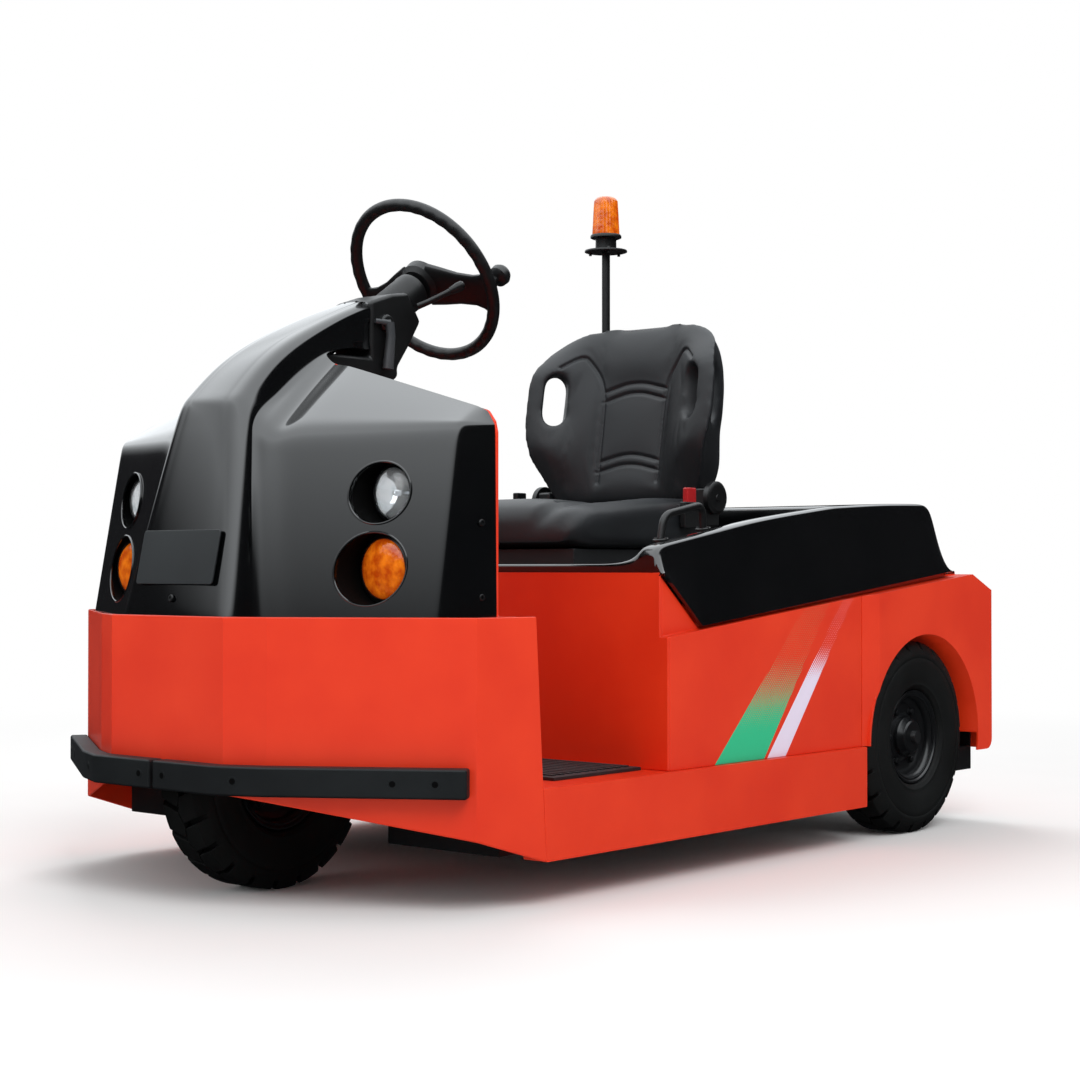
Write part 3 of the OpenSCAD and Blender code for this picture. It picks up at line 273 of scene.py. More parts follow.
washer = solid_turn([(0, 5), (0, 9), (2, 9), (2, 5)], (0, 0, 0), (0, 0, 1), 12)
print("a washer turned in 12 steps has", len(washer[0]), "points and", len(washer[1]), "faces")

# %% bars, blocks and mirror images
def bar(path, radius, sides=16):
    """Sweeps a round section along a path, with flat ends; radius is one value or one per point."""
    path = [Vector(p) for p in path]
    radii = radius if isinstance(radius, (list, tuple)) else [radius] * len(path)
    rings = []
    side = (path[1] - path[0]).orthogonal().normalized()
    for i, p in enumerate(path):
        along = (path[min(i + 1, len(path) - 1)] - path[max(i - 1, 0)]).normalized()
        side = (side - along * side.dot(along)).normalized()
        third = along.cross(side)
        turns = [math.tau * k / sides for k in range(sides)]
        rings.append([p + (side * math.cos(t) + third * math.sin(t)) * radii[i] for t in turns])
    return skin(rings)


def mirrored(part):
    """The same points on the other side of the tug."""
    points, faces = part
    return [Vector((p[0], -p[1], p[2])) for p in points], faces


def pair(part):
    """A part and its mirror image."""
    return [part, mirrored(part)]


def block(low, high):
    """A plain box between two corners."""
    (x0, y0, z0), (x1, y1, z1) = low, high
    base = [(x0, y0), (x1, y0), (x1, y1), (x0, y1)]
    return skin([[Vector((x, y, z)) for x, y in base] for z in (z0, z1)])


def toward(a, b, distance):
    """The point a set distance from a in the direction of b."""
    return a + (b - a).normalized() * distance


print("a block has", len(block((0, 0, 0), (1, 1, 1))[1]), "faces")


# %% [markdown]
# ## Hood
# The real hood is one glossy moulding: two lamp faces swept back from a centre spine, which runs on as an
# arch over the steering column. On gloss black every ripple shows, so the surface has to be smooth. A coarse
# cage of contours under a Subdivision modifier gives that: each contour runs from the middle over the ridge,
# the valley with its bead, the lamp face and the corner to the rear edge. Points set closely make tight
# bends.

# %% contours of the hood
hood_low, hood_high = box_mm("front_hood")
bulkhead_x = box_mm("bulkhead")[1].x
BASE_Z, CREASE_Z = hood_low.z, 920.0
REAR_HALF = hood_high.y
RIDGE = [(1110, 165, BASE_Z), (1108, 163.5, 560), (1090, 151, 642), (1071, 136, 734), (1052, 121, 826)]
RIDGE += [(1036, 108, 900), (1029, 102, 930), (1021, 96.5, 964), (1015.5, 94.2, 981), (1002, 92.5, 995)]
RIDGE += [(938, 87, 1061), (858, 80.5, 1113), (bulkhead_x, 74, 1153)]
ARCH = [(700, 67, 1184), (648, 61, 1203), (hood_low.x, 58, hood_high.z)]
LOW_SHARES = [0.0, 0.03, 0.25, 0.5, 0.72, 0.87, 0.965]
HIGH_SHARES = [0.05, 0.18, 0.40, 0.62, 0.82, 1.0]
FOOT = [Vector((1031, 188, BASE_Z)), Vector((901, 521, BASE_Z)), Vector((bulkhead_x, REAR_HALF, BASE_Z))]
CREASE = [Vector((986, 128, CREASE_Z)), Vector((837, 508, CREASE_Z)), Vector((bulkhead_x, 542, CREASE_Z - 2))]
BACK = [Vector((bulkhead_x, 75, 1076)), Vector((bulkhead_x, 497, 957)), Vector((bulkhead_x, 523, 946))]
FACE_OUT, TOP_OUT = Vector((0.92, 0.36, 0.16)), Vector((0.50, 0.25, 0.83))
BEND, TURN, FACE_BEAD, TOP_BEAD = 26.0, 15.0, (8.0, 2.0), (6.0, -9.0)


def contour(ridge, valley, corner, rear, out, bead):
    """Half of one contour, from the middle of the spine to the hood's rear edge."""
    ridge = Vector(ridge)
    middle = (ridge + valley) / 2
    front = [Vector((ridge.x + 7, 0, ridge.z)), Vector((ridge.x + 5, ridge.y * 0.5, ridge.z))]
    front += [ridge + Vector((2, -BEND * 1.5, 0)), ridge + Vector((0, -14, 0)), toward(ridge, valley, 16)]
    groove = [middle - out * 8, toward(valley, ridge, 34) - out * 8, toward(valley, ridge, 14) - out]
    groove += [toward(valley, corner, 6) + out * bead[0], toward(valley, corner, 28) + out * bead[1]]
    face = [toward(valley, corner, 56)] + [valley.lerp(corner, s) for s in (0.3, 0.55, 0.8)]
    short_turn = min(TURN, (rear - corner).length * 0.4)
    side = [toward(corner, valley, TURN), corner, toward(corner, rear, short_turn)]
    return front + groove + face + side + [corner.lerp(rear, 0.75), rear]


def hood_contours():
    """All contours from the hood's foot over the crease to the bulkhead."""
    rows = []
    for ridge, share in zip(RIDGE, LOW_SHARES):
        rows.append(contour(ridge, *[a.lerp(b, share) for a, b in zip(FOOT, CREASE)], FACE_OUT, FACE_BEAD))
    for ridge, share in zip(RIDGE[len(LOW_SHARES) :], HIGH_SHARES):
        sag = Vector((0, 0, 4 * math.sin(math.pi * share)))
        valley, corner, rear = [a.lerp(b, share) for a, b in zip(CREASE, BACK)]
        rows.append(contour(ridge, valley + sag, corner, rear, TOP_OUT.normalized(), TOP_BEAD))
    return rows


def whole(row):
    """A contour with its mirror image, from the right rear edge to the left."""
    return [Vector((p.x, -p.y, p.z)) for p in row[:0:-1]] + row


rows = [whole(row) for row in hood_contours()]
columns = len(rows[0])
print("hood cage", len(rows), "contours of", columns, "points")

# %% skin the cage and thicken it
ARCH_HALF_COLUMNS, HOOD_WALL, SHELL_EDGE_DEG = 7, 8.0, 40


def settle(obj):
    """Applies an object's modifiers, so that what follows works on the finished mesh."""
    graph = bpy.context.evaluated_depsgraph_get()
    mesh = bpy.data.meshes.new_from_object(obj.evaluated_get(graph))
    obj.modifiers.clear()
    obj.data = mesh
    return obj


def shell(name, points, faces, wall, levels):
    """An open cage, smoothed by subdivision and thickened inward."""
    mesh = bpy.data.meshes.new(name)
    mesh.from_pydata([p * MM for p in points], [], faces)
    made = placed(name, mesh)
    smooth = made.modifiers.new("smooth", "SUBSURF")
    smooth.levels = smooth.render_levels = levels
    thick = made.modifiers.new("wall", "SOLIDIFY")
    thick.thickness = wall * MM
    thick.offset = -1
    return settle(made)


def hood_cage():
    """Points and faces of the hood, with the arch carried on behind the bulkhead."""
    points, faces = skin(rows, closed=False, caps=False)
    middle = columns // 2
    span = range(middle - ARCH_HALF_COLUMNS, middle + ARCH_HALF_COLUMNS + 1)
    last = [(len(rows) - 1) * columns + j for j in span]
    crown_z = box_mm("bulkhead")[1].z
    for ridge in ARCH:
        edge = Vector((ridge[0], ridge[1], crown_z + 1))
        foot = edge + Vector((0, 9, 0))
        half = contour(ridge, edge, foot, foot, Vector((0, 1, 0)), FACE_BEAD)
        row = whole(half[: ARCH_HALF_COLUMNS + 1])
        now = list(range(len(points), len(points) + len(row)))
        points += row
        faces += [[last[j], last[j + 1], now[j + 1], now[j]] for j in range(len(row) - 1)]
        last = now
    return points, faces


hood = shell("hood", *hood_cage(), HOOD_WALL, 3)
print("hood shell", len(hood.data.polygons), "faces")

# %% cut the lamp holes
def cut(obj, cutter):
    """Takes one closed mesh out of another."""
    away = obj.modifiers.new("cut", "BOOLEAN")
    away.object = cutter
    away.solver = "EXACT"
    settle(obj)
    bpy.data.objects.remove(cutter)


LAMP_Y = 374.0
LAMPS = {"headlamp": (790.0, 59.5), "indicator": (645.0, 70.0)}
for centre_z, radius in LAMPS.values():
    for side in (-1, 1):
        bpy.ops.mesh.primitive_cylinder_add(
            vertices=72,
            radius=radius * MM,
            depth=0.5,
            location=Vector((950, side * LAMP_Y, centre_z)) * MM,
            rotation=(0, math.pi / 2, 0),
        )
        bpy.context.view_layer.update()
        cut(hood, bpy.context.object)
shade(hood.data, SHELL_EDGE_DEG)
coat(hood, GLOSS)
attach(hood, "chassis")
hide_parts("front_hood")
print("hood with its holes", len(hood.data.polygons), "faces")

# %% [markdown]
# ## Lamps
# Each lamp sits at the foot of a round pocket that opens forward through the slanted lamp face. The pocket's
# front edge follows that slant, and a thin bead along it stands for the moulded rim. Behind the headlamp's
# ribbed glass is a silvered bowl with a bulb; the indicator has an amber lens with a pattern of small cells.

# %% lens finishes
def lens(name, dark, light, cells, **values):
    """A moulded lens: tinted, partly clear, with patches of tone and a relief of cells on its face."""
    values.update(cells=True, cloud_scale=45.0, IOR=1.5)
    return finish(name, dark, light, (0.04, 0.10), cells, 0.9, **values)


GLOW = {"Emission_Color": linear("FF6A00"), "Emission_Strength": 0.10}
CLEAR = lens("clear_lens", "EEF2F4", "FFFFFF", 55.0, Transmission_Weight=0.92)
AMBER = lens("amber_lens", "B8440A", "F58A1A", 110.0, Transmission_Weight=0.25, Coat_Weight=0.4, **GLOW)
RED_LENS = lens("red_lens", "8E0B08", "C0140F", 140.0, Coat_Weight=0.5)
SILVER = finish("silvered_bowl", "DADDE0", "EDEFF1", (0.06, 0.12), 60.0, 0.35, cells=True, Metallic=1.0)
print("lenses", CLEAR.name, AMBER.name, RED_LENS.name)

# %% pockets that follow the slanted face
FACE_POINT = Vector((914.4, LAMP_Y, 790.0))
FACE_SLOPE_Y, FACE_SLOPE_Z = -0.391, -0.172
POCKET_DEEP, LENS_SHARE, LENS_BOW, RIM_STEPS = 62.0, 0.82, 13.0, 72
FORWARD = (1, 0, 0)


def face_x(y, z):
    """Where the lamp face lies at a place of the left half."""
    return FACE_POINT.x + FACE_SLOPE_Y * (y - FACE_POINT.y) + FACE_SLOPE_Z * (z - FACE_POINT.z)


def pocket(centre_z, radius):
    """A cup whose front edge follows the lamp face, and the path of the bead along that edge."""
    foot_x = face_x(LAMP_Y, centre_z) - POCKET_DEEP
    turns = [math.tau * i / RIM_STEPS for i in range(RIM_STEPS)]
    rim = [(LAMP_Y + radius * math.cos(t), centre_z + radius * math.sin(t)) for t in turns]
    front = [Vector((face_x(y, z) - 3, y, z)) for y, z in rim]
    outer = [Vector((p.x, LAMP_Y + (p.y - LAMP_Y) * 1.03, centre_z + (p.z - centre_z) * 1.03)) for p in front]
    back = [Vector((foot_x - 2, p.y, p.z)) for p in outer]
    inner_back = [Vector((foot_x + 1, y, z)) for y, z in rim]
    cup = skin([inner_back, front, outer, back])
    bead = [Vector((face_x(y, z) + 0.5, y, z)) for y, z in rim]
    return cup, bar(bead + bead[:2], 2.4, 8)


cups, beads = [], []
for centre_z, radius in LAMPS.values():
    cup, bead = pocket(centre_z, radius)
    cups += pair(cup)
    beads += pair(bead)
# The pockets are lined in black like the hood, made darker and duller than it as painted shade in the recess.
piece("lamp_pockets", cups, "chassis", "gloss_black", SHADE_BLACK)
piece("lamp_rims", beads, "chassis", "gloss_black", GLOSS)
print("lamp pockets", len(cups))

# %% bezels, bowls, bulbs and lenses
def lamp_parts(centre_z, radius):
    """Bezel, bowl, bulb and lens of one lamp, at the foot of its pocket."""
    seat = Vector((face_x(LAMP_Y, centre_z) - POCKET_DEEP + 25, LAMP_Y, centre_z))
    r = radius * LENS_SHARE
    ring = [(-24, r), (-24, radius - 1), (-4, radius - 1), (2, r + 4), (3, r + 1), (0, r)]
    curve = [(-20 + 20 * s * s, r * s) for s in (0.0, 0.15, 0.3, 0.45, 0.6, 0.75, 0.9, 1.0)]
    dome = [(LENS_BOW * math.cos(a * 0.1), r * math.sin(a * 0.1) / math.sin(1.5)) for a in range(0, 16)]
    inside = [(x - 3, s * 0.965) for x, s in dome[::-1]]
    bezel = solid_turn(ring, seat, FORWARD)
    bowl = solid_turn(curve + [(-22, r), (-23, 0)], seat, FORWARD)
    bulb = solid_turn([(-19, 0), (-19, 5), (-8, 6), (-3, 4), (-1, 0)], seat, FORWARD, 24)
    glass = solid_turn(dome + [(-1, r), (-1, r * 0.97)] + inside, seat, FORWARD)
    return bezel, bowl, bulb, glass


LENSES = {"headlamp": ("clear_lens", CLEAR), "indicator": ("amber_lens", AMBER)}
for name, (centre_z, radius) in LAMPS.items():
    bezel, bowl, bulb, glass = lamp_parts(centre_z, radius)
    made = piece(name + "_lens", pair(glass), "chassis", *LENSES[name])
    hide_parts(name + "s")
    piece(name + "_bowl", pair(bowl) + pair(bulb), "chassis", "bright_steel", SILVER)
    piece(name + "_bezel", pair(bezel), "chassis", "satin_black", SATIN)
    print(name, "lens radius", round(radius * LENS_SHARE, 1), "mm")

# %% [markdown]
# ## Blank plate, screws and bumper strips
# The plate on the spine is left blank. The two rubber strips follow the apron's facets, each as one bent bar
# with rounded edges, held by bolts sunk in round holes. Each hole is drawn as a raised ring round a flat
# near-black disc, which is painted shade where the bolt sits deep.

# %% plate and screws on the hood
def rounded_plate(width, height, thick, corner, place, lean):
    """A plate with round corners on a face that leans back, its middle at a place."""
    outline = []
    for cy, cz, start in ((1, 1, 0), (-1, 1, 90), (-1, -1, 180), (1, -1, 270)):
        for step in range(0, 91, 15):
            turn = math.radians(start + step)
            y = cy * (width / 2 - corner) + corner * math.cos(turn)
            z = cz * (height / 2 - corner) + corner * math.sin(turn)
            outline.append((y, z))
    turn = Matrix.Translation(place) @ Matrix.Rotation(-lean, 4, "Y")
    return skin([[turn @ Vector((x, y, z)) for y, z in outline] for x in (0, thick)])


def screw_head(place, out, radius=7.0, high=3.5):
    """A round head with a round socket sunk in its top, standing on a face."""
    head = [(0, 0), (0, radius), (high * 0.5, radius), (high, radius * 0.8), (high, radius * 0.45)]
    return solid_turn(head + [(high * 0.4, radius * 0.42), (high * 0.4, 0)], place, out, 24)


plate_low, plate_high = box_mm("hood_plate")
SPINE_LEAN = math.atan2(1110 - 1017, 982 - BASE_Z)
PLATE_GREY = finish("plate_grey", "1B1E20", "222628", (0.30, 0.40), 500.0, 0.05)
plate_middle = Vector((plate_low + plate_high) / 2) + Vector((5, 0, 0))
plate_part = rounded_plate(230, 108, 3.5, 7, plate_middle, SPINE_LEAN)
plate = piece("spine_plate", [plate_part], "chassis", "satin_black", PLATE_GREY, 1.0)
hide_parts("hood_plate")
SIDE_OUT = Vector((0.19, 0.98, 0.02))
screws = []
for z in (591, 732):
    screws += pair(screw_head(Vector((805, 536, z)), SIDE_OUT))
screws.append(screw_head(Vector((1111, 0, 588)), Vector((1, 0, 0.2))))
piece("hood_screws", screws, "chassis", "satin_black", SATIN)
print("plate", [round(v) for v in plate_middle], "screws", len(screws))

# %% bumper strips along the apron's facets
strip_low, strip_high = box_mm("bumper_strips")
NOSE_X = box_mm("front_apron")[1].x
STRIP_T = strip_high.x - NOSE_X
STRIP_PATH = [Vector((NOSE_X, 5, 0)), Vector((NOSE_X, 168, 0)), Vector((NOSE_X - 37, 249, 0))]
STRIP_PATH.append(Vector((NOSE_X - 247, 573, 0)))


def offset_path(path, distance):
    """The same path moved sideways, its corners mitred."""
    moved = []
    for i, p in enumerate(path):
        steps = [path[k + 1] - path[k] for k in (i - 1, i) if 0 <= k < len(path) - 1]
        outs = [Vector((s.y, -s.x, 0)).normalized() for s in steps]
        out = sum(outs, Vector()) / len(outs)
        moved.append(p + out * distance / out.length_squared)
    return moved


def strip():
    """One strip as a skin of upright sections along its path."""
    inner, outer = offset_path(STRIP_PATH, 0.4), offset_path(STRIP_PATH, STRIP_T)
    low, high = strip_low.z, strip_high.z
    rings = []
    for a, b in zip(inner, outer):
        rings.append([Vector((p.x, p.y, z)) for p, z in ((a, low), (b, low), (b, high), (a, high))])
    return skin(rings)


strips = piece("bumper_bars", pair(strip()), "chassis", "bumper_rubber", RUBBER, 5.0)
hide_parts("bumper_strips")
outer = offset_path(STRIP_PATH, STRIP_T)
HOLE_PLACES = [(0, 30.0), (1, 45.0), (2, 250.0), (2, 330.0)]
holes, hole_rings = [], []
for start, along in HOLE_PLACES:
    step = (outer[start + 1] - outer[start]).normalized()
    out = Vector((step.y, -step.x, 0))
    spot = outer[start] + step * along + Vector((0, 0, (strip_low.z + strip_high.z) / 2))
    ring = solid_turn([(-0.5, 5.5), (0.4, 6.0), (0.4, 9.5), (-0.5, 10)], spot, out, 28)
    # A flat near-black disc inside each ring is painted shade, standing for the depth of the bolt hole.
    hole_shade = solid_turn([(-0.5, 0), (0.5, 0), (0.5, 6.0), (-0.5, 6.0)], spot, out, 24)
    holes += pair(hole_shade)
    hole_rings += pair(ring)
piece("bumper_hole_shades", holes, "chassis", "bumper_rubber", SHADE_BLACK)
piece("bumper_rings", hole_rings, "chassis", "bumper_rubber", RUBBER)
print("bumper strips", round((strip_high - strip_low).y), "mm across")

# %% [markdown]
# ## Battery cover
# The cover is a deep glossy moulding with leaning sides and a recess for the seat. As with the hood, a cage
# of cross sections under a Subdivision modifier keeps the gloss clean. Each section runs from the middle over
# the recess floor, up the flare, over the shoulder and down the leaning side to the foot. Two points set
# close together hold an edge tight.

# %% sections of the cover
cover_high = box_mm("battery_cover")[1]
FRONT_X, COVER_BACK = box_mm("deck_wall")[1].x, -915.0
RECESS_Z, RECESS_END, RAMP = 655.0, -427.0, 40.0
FOOT_HALF, TOP_HALF = cover_high.y, cover_high.y - 30.0
TOP_LINE = [(FRONT_X, 637.4), (296, 671), (289, 686), (273, 696), (119, 721), (-97, 757), (-395, 790)]
TOP_LINE += [(-625, 802), (-823, 806), (-843, 797), (-862, 760), (COVER_BACK, 645)]
FOOT_LINE = [(FRONT_X, 637.3), (166, 524), (COVER_BACK, 639)]


def along(line, x):
    """Height of a line of (x, z) points, given from front to rear, at a station."""
    for (xa, za), (xb, zb) in zip(line, line[1:]):
        if xb <= x <= xa:
            return za + (zb - za) * (xa - x) / (xa - xb)
    return line[0][1] if x > line[0][0] else line[-1][1]


def cover_section(x):
    """Half a section of the cover, from the middle to the foot."""
    top, foot = along(TOP_LINE, x), along(FOOT_LINE, x)
    rise = min(max((RECESS_END - x) / RAMP, 0), 1)
    floor = min(RECESS_Z + (top - RECESS_Z) * rise, top)
    points = [(0, floor), (150, floor), (300, floor), (400, floor)]
    for share_y, share_z in ((0.0, 0.0), (0.35, 0.06), (0.65, 0.22), (0.86, 0.50), (0.97, 0.84), (1.06, 1.0)):
        points.append((420 + 95 * share_y, floor + (top - floor) * share_z))
    points += [(536, top), (TOP_HALF - 11, top), (TOP_HALF - 1, top - 3), (TOP_HALF + 3, top - 13)]
    side_y, side_top = TOP_HALF + 3, top - 13
    for share in (0.12, 0.4, 0.75, 0.94, 1.0):
        points.append((side_y + (FOOT_HALF - side_y) * share, side_top + (foot - side_top) * share))
    return [Vector((x, y, z)) for y, z in points]


STATIONS = [FRONT_X, 297, 291, 280, 262, 230, 195, 173, 166, 158, 110, 40, -60, -180, -300, -395, -422, -432]
STATIONS += [-447, -463, -472, -500, -625, -760, -815, -832, -846, -860, -885, -908, COVER_BACK]
sections = [whole(cover_section(x)) for x in STATIONS]
print("cover cage", len(sections), "sections of", len(sections[0]), "points")

# %% skin, thicken and hang the cover
COVER_WALL = 7.0
cover = shell("cover_shell", *skin(sections, closed=False, caps=False), COVER_WALL, 2)
shade(cover.data, SHELL_EDGE_DEG)
coat(cover, GLOSS)
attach(cover, "cover")
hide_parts("battery_cover")
HINGE, HINGE_Y, PIN_R, KNUCKLE_R, HALF_L = Vector((-926.3, 0, 648.3)), 360, 6.2, 11, 30
TUBE = [(-HALF_L, PIN_R), (-HALF_L, KNUCKLE_R), (HALF_L, KNUCKLE_R), (HALF_L, PIN_R)]
knuckles = []
for y in (-HINGE_Y, HINGE_Y):
    knuckles.append(solid_turn(TUBE, HINGE + Vector((0, y, 0)), (0, 1, 0), 32))
    knuckles.append(block((-918, y - HALF_L, HINGE.z), (-907.3, y + HALF_L, HINGE.z + KNUCKLE_R)))
piece("cover_knuckles", knuckles, "cover", "gloss_black", SATIN, 1.0)
print("cover faces", len(cover.data.polygons))

# %% [markdown]
# ## Grab handles
# Each handle is a bent round bar welded to two small foot plates. Its corners are quarter turns, drawn as
# short steps along an arc.

# %% bent bars with foot plates
def bent(corners, radius, steps=8):
    """A path through corner points, each inner corner rounded by an arc."""
    path = [Vector(corners[0])]
    for a, b, c in zip(corners, corners[1:], corners[2:]):
        a, b, c = Vector(a), Vector(b), Vector(c)
        start, end = toward(b, a, radius), toward(b, c, radius)
        for i in range(steps + 1):
            s = i / steps
            path.append(start * (1 - s) ** 2 + b * 2 * s * (1 - s) + end * s**2)
    return path + [Vector(corners[-1])]


handle_low, handle_high = box_mm("grab_handles")
BAR_Y, BAR_R, BAR_HIGH, BEND_R = handle_high.y - 18, 8.5, 52, 24
front, rear = handle_high.x - 18, handle_low.x + 18
foot_f, foot_r = along(TOP_LINE, front) + 2, along(TOP_LINE, rear) + 2
corners = [(front, BAR_Y, foot_f), (front - 12, BAR_Y, foot_f + BAR_HIGH)]
corners += [(rear + 4, BAR_Y, foot_r + BAR_HIGH), (rear, BAR_Y, foot_r)]
handle_parts = pair(bar(bent(corners, BEND_R), BAR_R))
SLOPE_UP = Vector((foot_r - foot_f, 0, front - rear)).normalized()
FOOT_PLATE = [(-3, 0), (-3, 17), (1, 17), (2.5, 15), (2.5, 0)]
for x, z in ((front, foot_f), (rear, foot_r)):
    handle_parts += pair(solid_turn(FOOT_PLATE, Vector((x, BAR_Y, z)), SLOPE_UP, 32))
for x, z in ((front, foot_f), (rear, foot_r)):
    for side in (-13, 13):
        handle_parts += pair(screw_head(Vector((x, BAR_Y + side, z + 2)), SLOPE_UP, 3.5, 2.5))
handles = piece("handle_bars", handle_parts, "cover", "satin_black", SATIN)
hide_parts("grab_handles")
print("handles from", round(rear), "to", round(front), "mm along the cover")

# %% [markdown]
# ## Seat
# The seat is foam under stitched vinyl. Its swell comes from a cloth simulation: a closed mesh of even small
# faces is blown up a little from inside, so that it rounds the way a filled cover does. Sculpting could shape
# it too, but pressure finds the even tension by itself. The seams and edges are held while it swells, as
# stitches hold the vinyl to its foam, and afterwards each seam is pressed in as a narrow groove.

# %% the backrest's own frame
BACK_FOOT, BACK_LEAN = Vector((-325, 0, 800.3)), math.radians(9)
HALF_WIDTHS = [(1, 190), (6, 208), (20, 226), (60, 250), (110, 274), (168, 292), (230, 300), (300, 297)]
HALF_WIDTHS += [(350, 286), (390, 266), (420, 240), (440, 208), (452, 170), (459, 124), (463, 70)]
FRONT = Vector((math.cos(BACK_LEAN), 0, math.sin(BACK_LEAN)))


def lean_back(point):
    """From the backrest's own frame, upright at its foot, to its place on the tug."""
    return Matrix.Rotation(-BACK_LEAN, 4, "Y") @ Vector(point) + BACK_FOOT


def in_back(point):
    """The backrest's own frame again, with the depth dropped."""
    place = Matrix.Rotation(BACK_LEAN, 4, "Y") @ (Vector(point) - BACK_FOOT)
    return Vector((0, place.y, place.z))


def eased(value, low, high):
    """A smooth step from nought at the low value to one at the high value."""
    s = min(max((value - low) / (high - low), 0), 1)
    return s * s * (3 - 2 * s)


def between(table, at):
    """Reads a table of pairs at a value between two of them."""
    for (a, va), (b, vb) in zip(table, table[1:]):
        if at <= b:
            return va + (vb - va) * (at - a) / (b - a)
    return table[-1][1]


print("the back leans by", round(math.degrees(BACK_LEAN)), "degrees")

# %% form of the winged back
WING, ROUND_TOP, ROUND_FOOT, BACK_STEPS = 84, (424, 39), 34, 28


def back_ring(z):
    """One level of the back: a padded middle, wings that come forward, and a rounded shell behind."""
    width = between(HALF_WIDTHS, z)
    wing = WING * (0.3 + 0.7 * eased(z, 10, 150)) * (1 - 0.85 * eased(z, 320, 462))
    turn_in = 0.70 + 0.18 * (1 - eased(z, 60, 200))
    over, under = max(z - ROUND_TOP[0], 0) / ROUND_TOP[1], max(ROUND_FOOT - z, 0) / ROUND_FOOT
    round_z = math.sqrt(max(1 - over**2, 0.02)) * math.sqrt(max(1 - under**2, 0.02))
    front, back = [], []
    for i in range(BACK_STEPS * 2 + 1):
        share = math.sin(math.pi / 2 * (i / BACK_STEPS - 1))
        y = width * share
        ahead = 10 + wing * eased(abs(y), 100, max(width - 34, 104))
        behind = -78 + (62 + wing) * eased(abs(y), turn_in * width, width)
        middle, edge = (ahead + behind) / 2, math.sqrt(max(1 - abs(share) ** 7, 0)) * round_z
        front.append(Vector((middle + (ahead - middle) * edge, y, z)))
        back.append(Vector((middle + (behind - middle) * edge, y, z)))
    return front + back[-2:0:-1]


levels = [1, 3, 6, 12, 20, 30] + list(range(44, 424, 14)) + [430, 438, 445, 451, 456, 460, 462]
back_part = skin([[lean_back(p) for p in back_ring(z)] for z in levels])
print("back levels", len(levels))

# %% form of the cushion
CUSHION_LOW, CUSHION_HIGH = box_mm("seat_cushion")
FRONT_ROLL = CUSHION_HIGH.x


def cushion_ring(x, drop, pinch):
    """One cross section of the cushion: its middle between two side rolls that rise toward the back."""
    ahead = eased(x, CUSHION_LOW.x + 120, FRONT_ROLL - 20)
    half, crown = CUSHION_HIGH.y - pinch, CUSHION_HIGH.z - drop
    top, middle = crown - 26 * ahead, crown - 24 + 14 * ahead
    low = CUSHION_LOW.z + min(pinch, 12)
    ring = [(half - 30, low), (half - 8, low + 8), (half, low + 30), (half, top - 45), (half - 8, top - 18)]
    ring += [(half - 30, top - 3), (half - 55, top - 1), (half - 80, top - 8), (half - 105, middle)]
    ring += [(half - 140, middle - 1), (90, middle), (0, middle)]
    left = [Vector((x, y, z)) for y, z in ring]
    return left + [Vector((x, -p.y, p.z)) for p in left[-2::-1]]


cushion_rings = []
for behind, drop, pinch in ((0, 30, 28), (3, 14, 14), (12, 4, 5), (30, 0, 0)):
    cushion_rings.append(cushion_ring(CUSHION_LOW.x + behind, drop, pinch))
for behind in range(60, 430, 30):
    cushion_rings.append(cushion_ring(CUSHION_LOW.x + behind, 0, 0))
for before, drop, pinch in ((55, 1, 2), (36, 5, 6), (20, 14, 14), (8, 30, 26), (1, 52, 44)):
    cushion_rings.append(cushion_ring(FRONT_ROLL - before, drop, pinch))
cushion_part = skin(cushion_rings)
print("cushion sections", len(cushion_rings))

# %% seam lines, read off the photo
def arc_line(points, steps=60):
    """A smooth line near its points, by repeated corner cutting."""
    line = [Vector(p) for p in points]
    while len(line) < steps:
        cut_line = [line[0]]
        for a, b in zip(line, line[1:]):
            cut_line += [a.lerp(b, 0.25), a.lerp(b, 0.75)]
        line = cut_line + [line[-1]]
    return line


def both(line):
    """A line and its mirror image."""
    return [[Vector(p) for p in line], [Vector((p[0], -p[1], p[2])) for p in line]]


def line_tree(lines, flat, gap=3.0):
    """A search tree over close points of all lines."""
    spots = []
    for line in lines:
        for a, b in zip(line, line[1:]):
            count = max(int((b - a).length / gap), 1)
            spots += [flat(a.lerp(b, i / count)) for i in range(count + 1)]
    tree = kdtree.KDTree(len(spots))
    for i, p in enumerate(spots):
        tree.insert(p, i)
    tree.balance()
    return tree


SIDE_LINE = [(93, 60), (94, 200), (95, 280), (108, 326), (138, 368), (160, 388), (206, 352)]
SIDE_SEAM = arc_line([(0, y, z) for y, z in SIDE_LINE])
ARCHES = [((-97, 292), 316), ((-97, 266), 292), ((-94, 111), 134), ((-96, 86), 109)]
CROSS = [arc_line([(0, y, z), (0, 0, top), (0, -y, z)]) for (y, z), top in ARCHES]
back_seams = both(SIDE_SEAM) + CROSS
cushion_seams = both([(x, 150, 0) for x in (CUSHION_LOW.x, FRONT_ROLL - 60)])
for x in (CUSHION_LOW.x + 150, CUSHION_LOW.x + 300):
    cushion_seams.append([Vector((x, -150, 0)), Vector((x, 150, 0))])
print("seams", len(back_seams), "on the back", len(cushion_seams), "on the cushion")

# %% grip slots cut slantwise through the wings
GRIP_X, GRIP_Y, GRIP_LOW, GRIP_HIGH, GRIP_R = 32, 243.0, 200.0, 334.0, 29.0
GRIP_REACH, ACROSS = 130, 0.7071


def half_turn(middle_z, start):
    """Points of one round end of the grip slot."""
    turns = [start + math.pi * i / 12 for i in range(13)]
    return [(GRIP_R * math.cos(t), middle_z + GRIP_R * math.sin(t)) for t in turns]


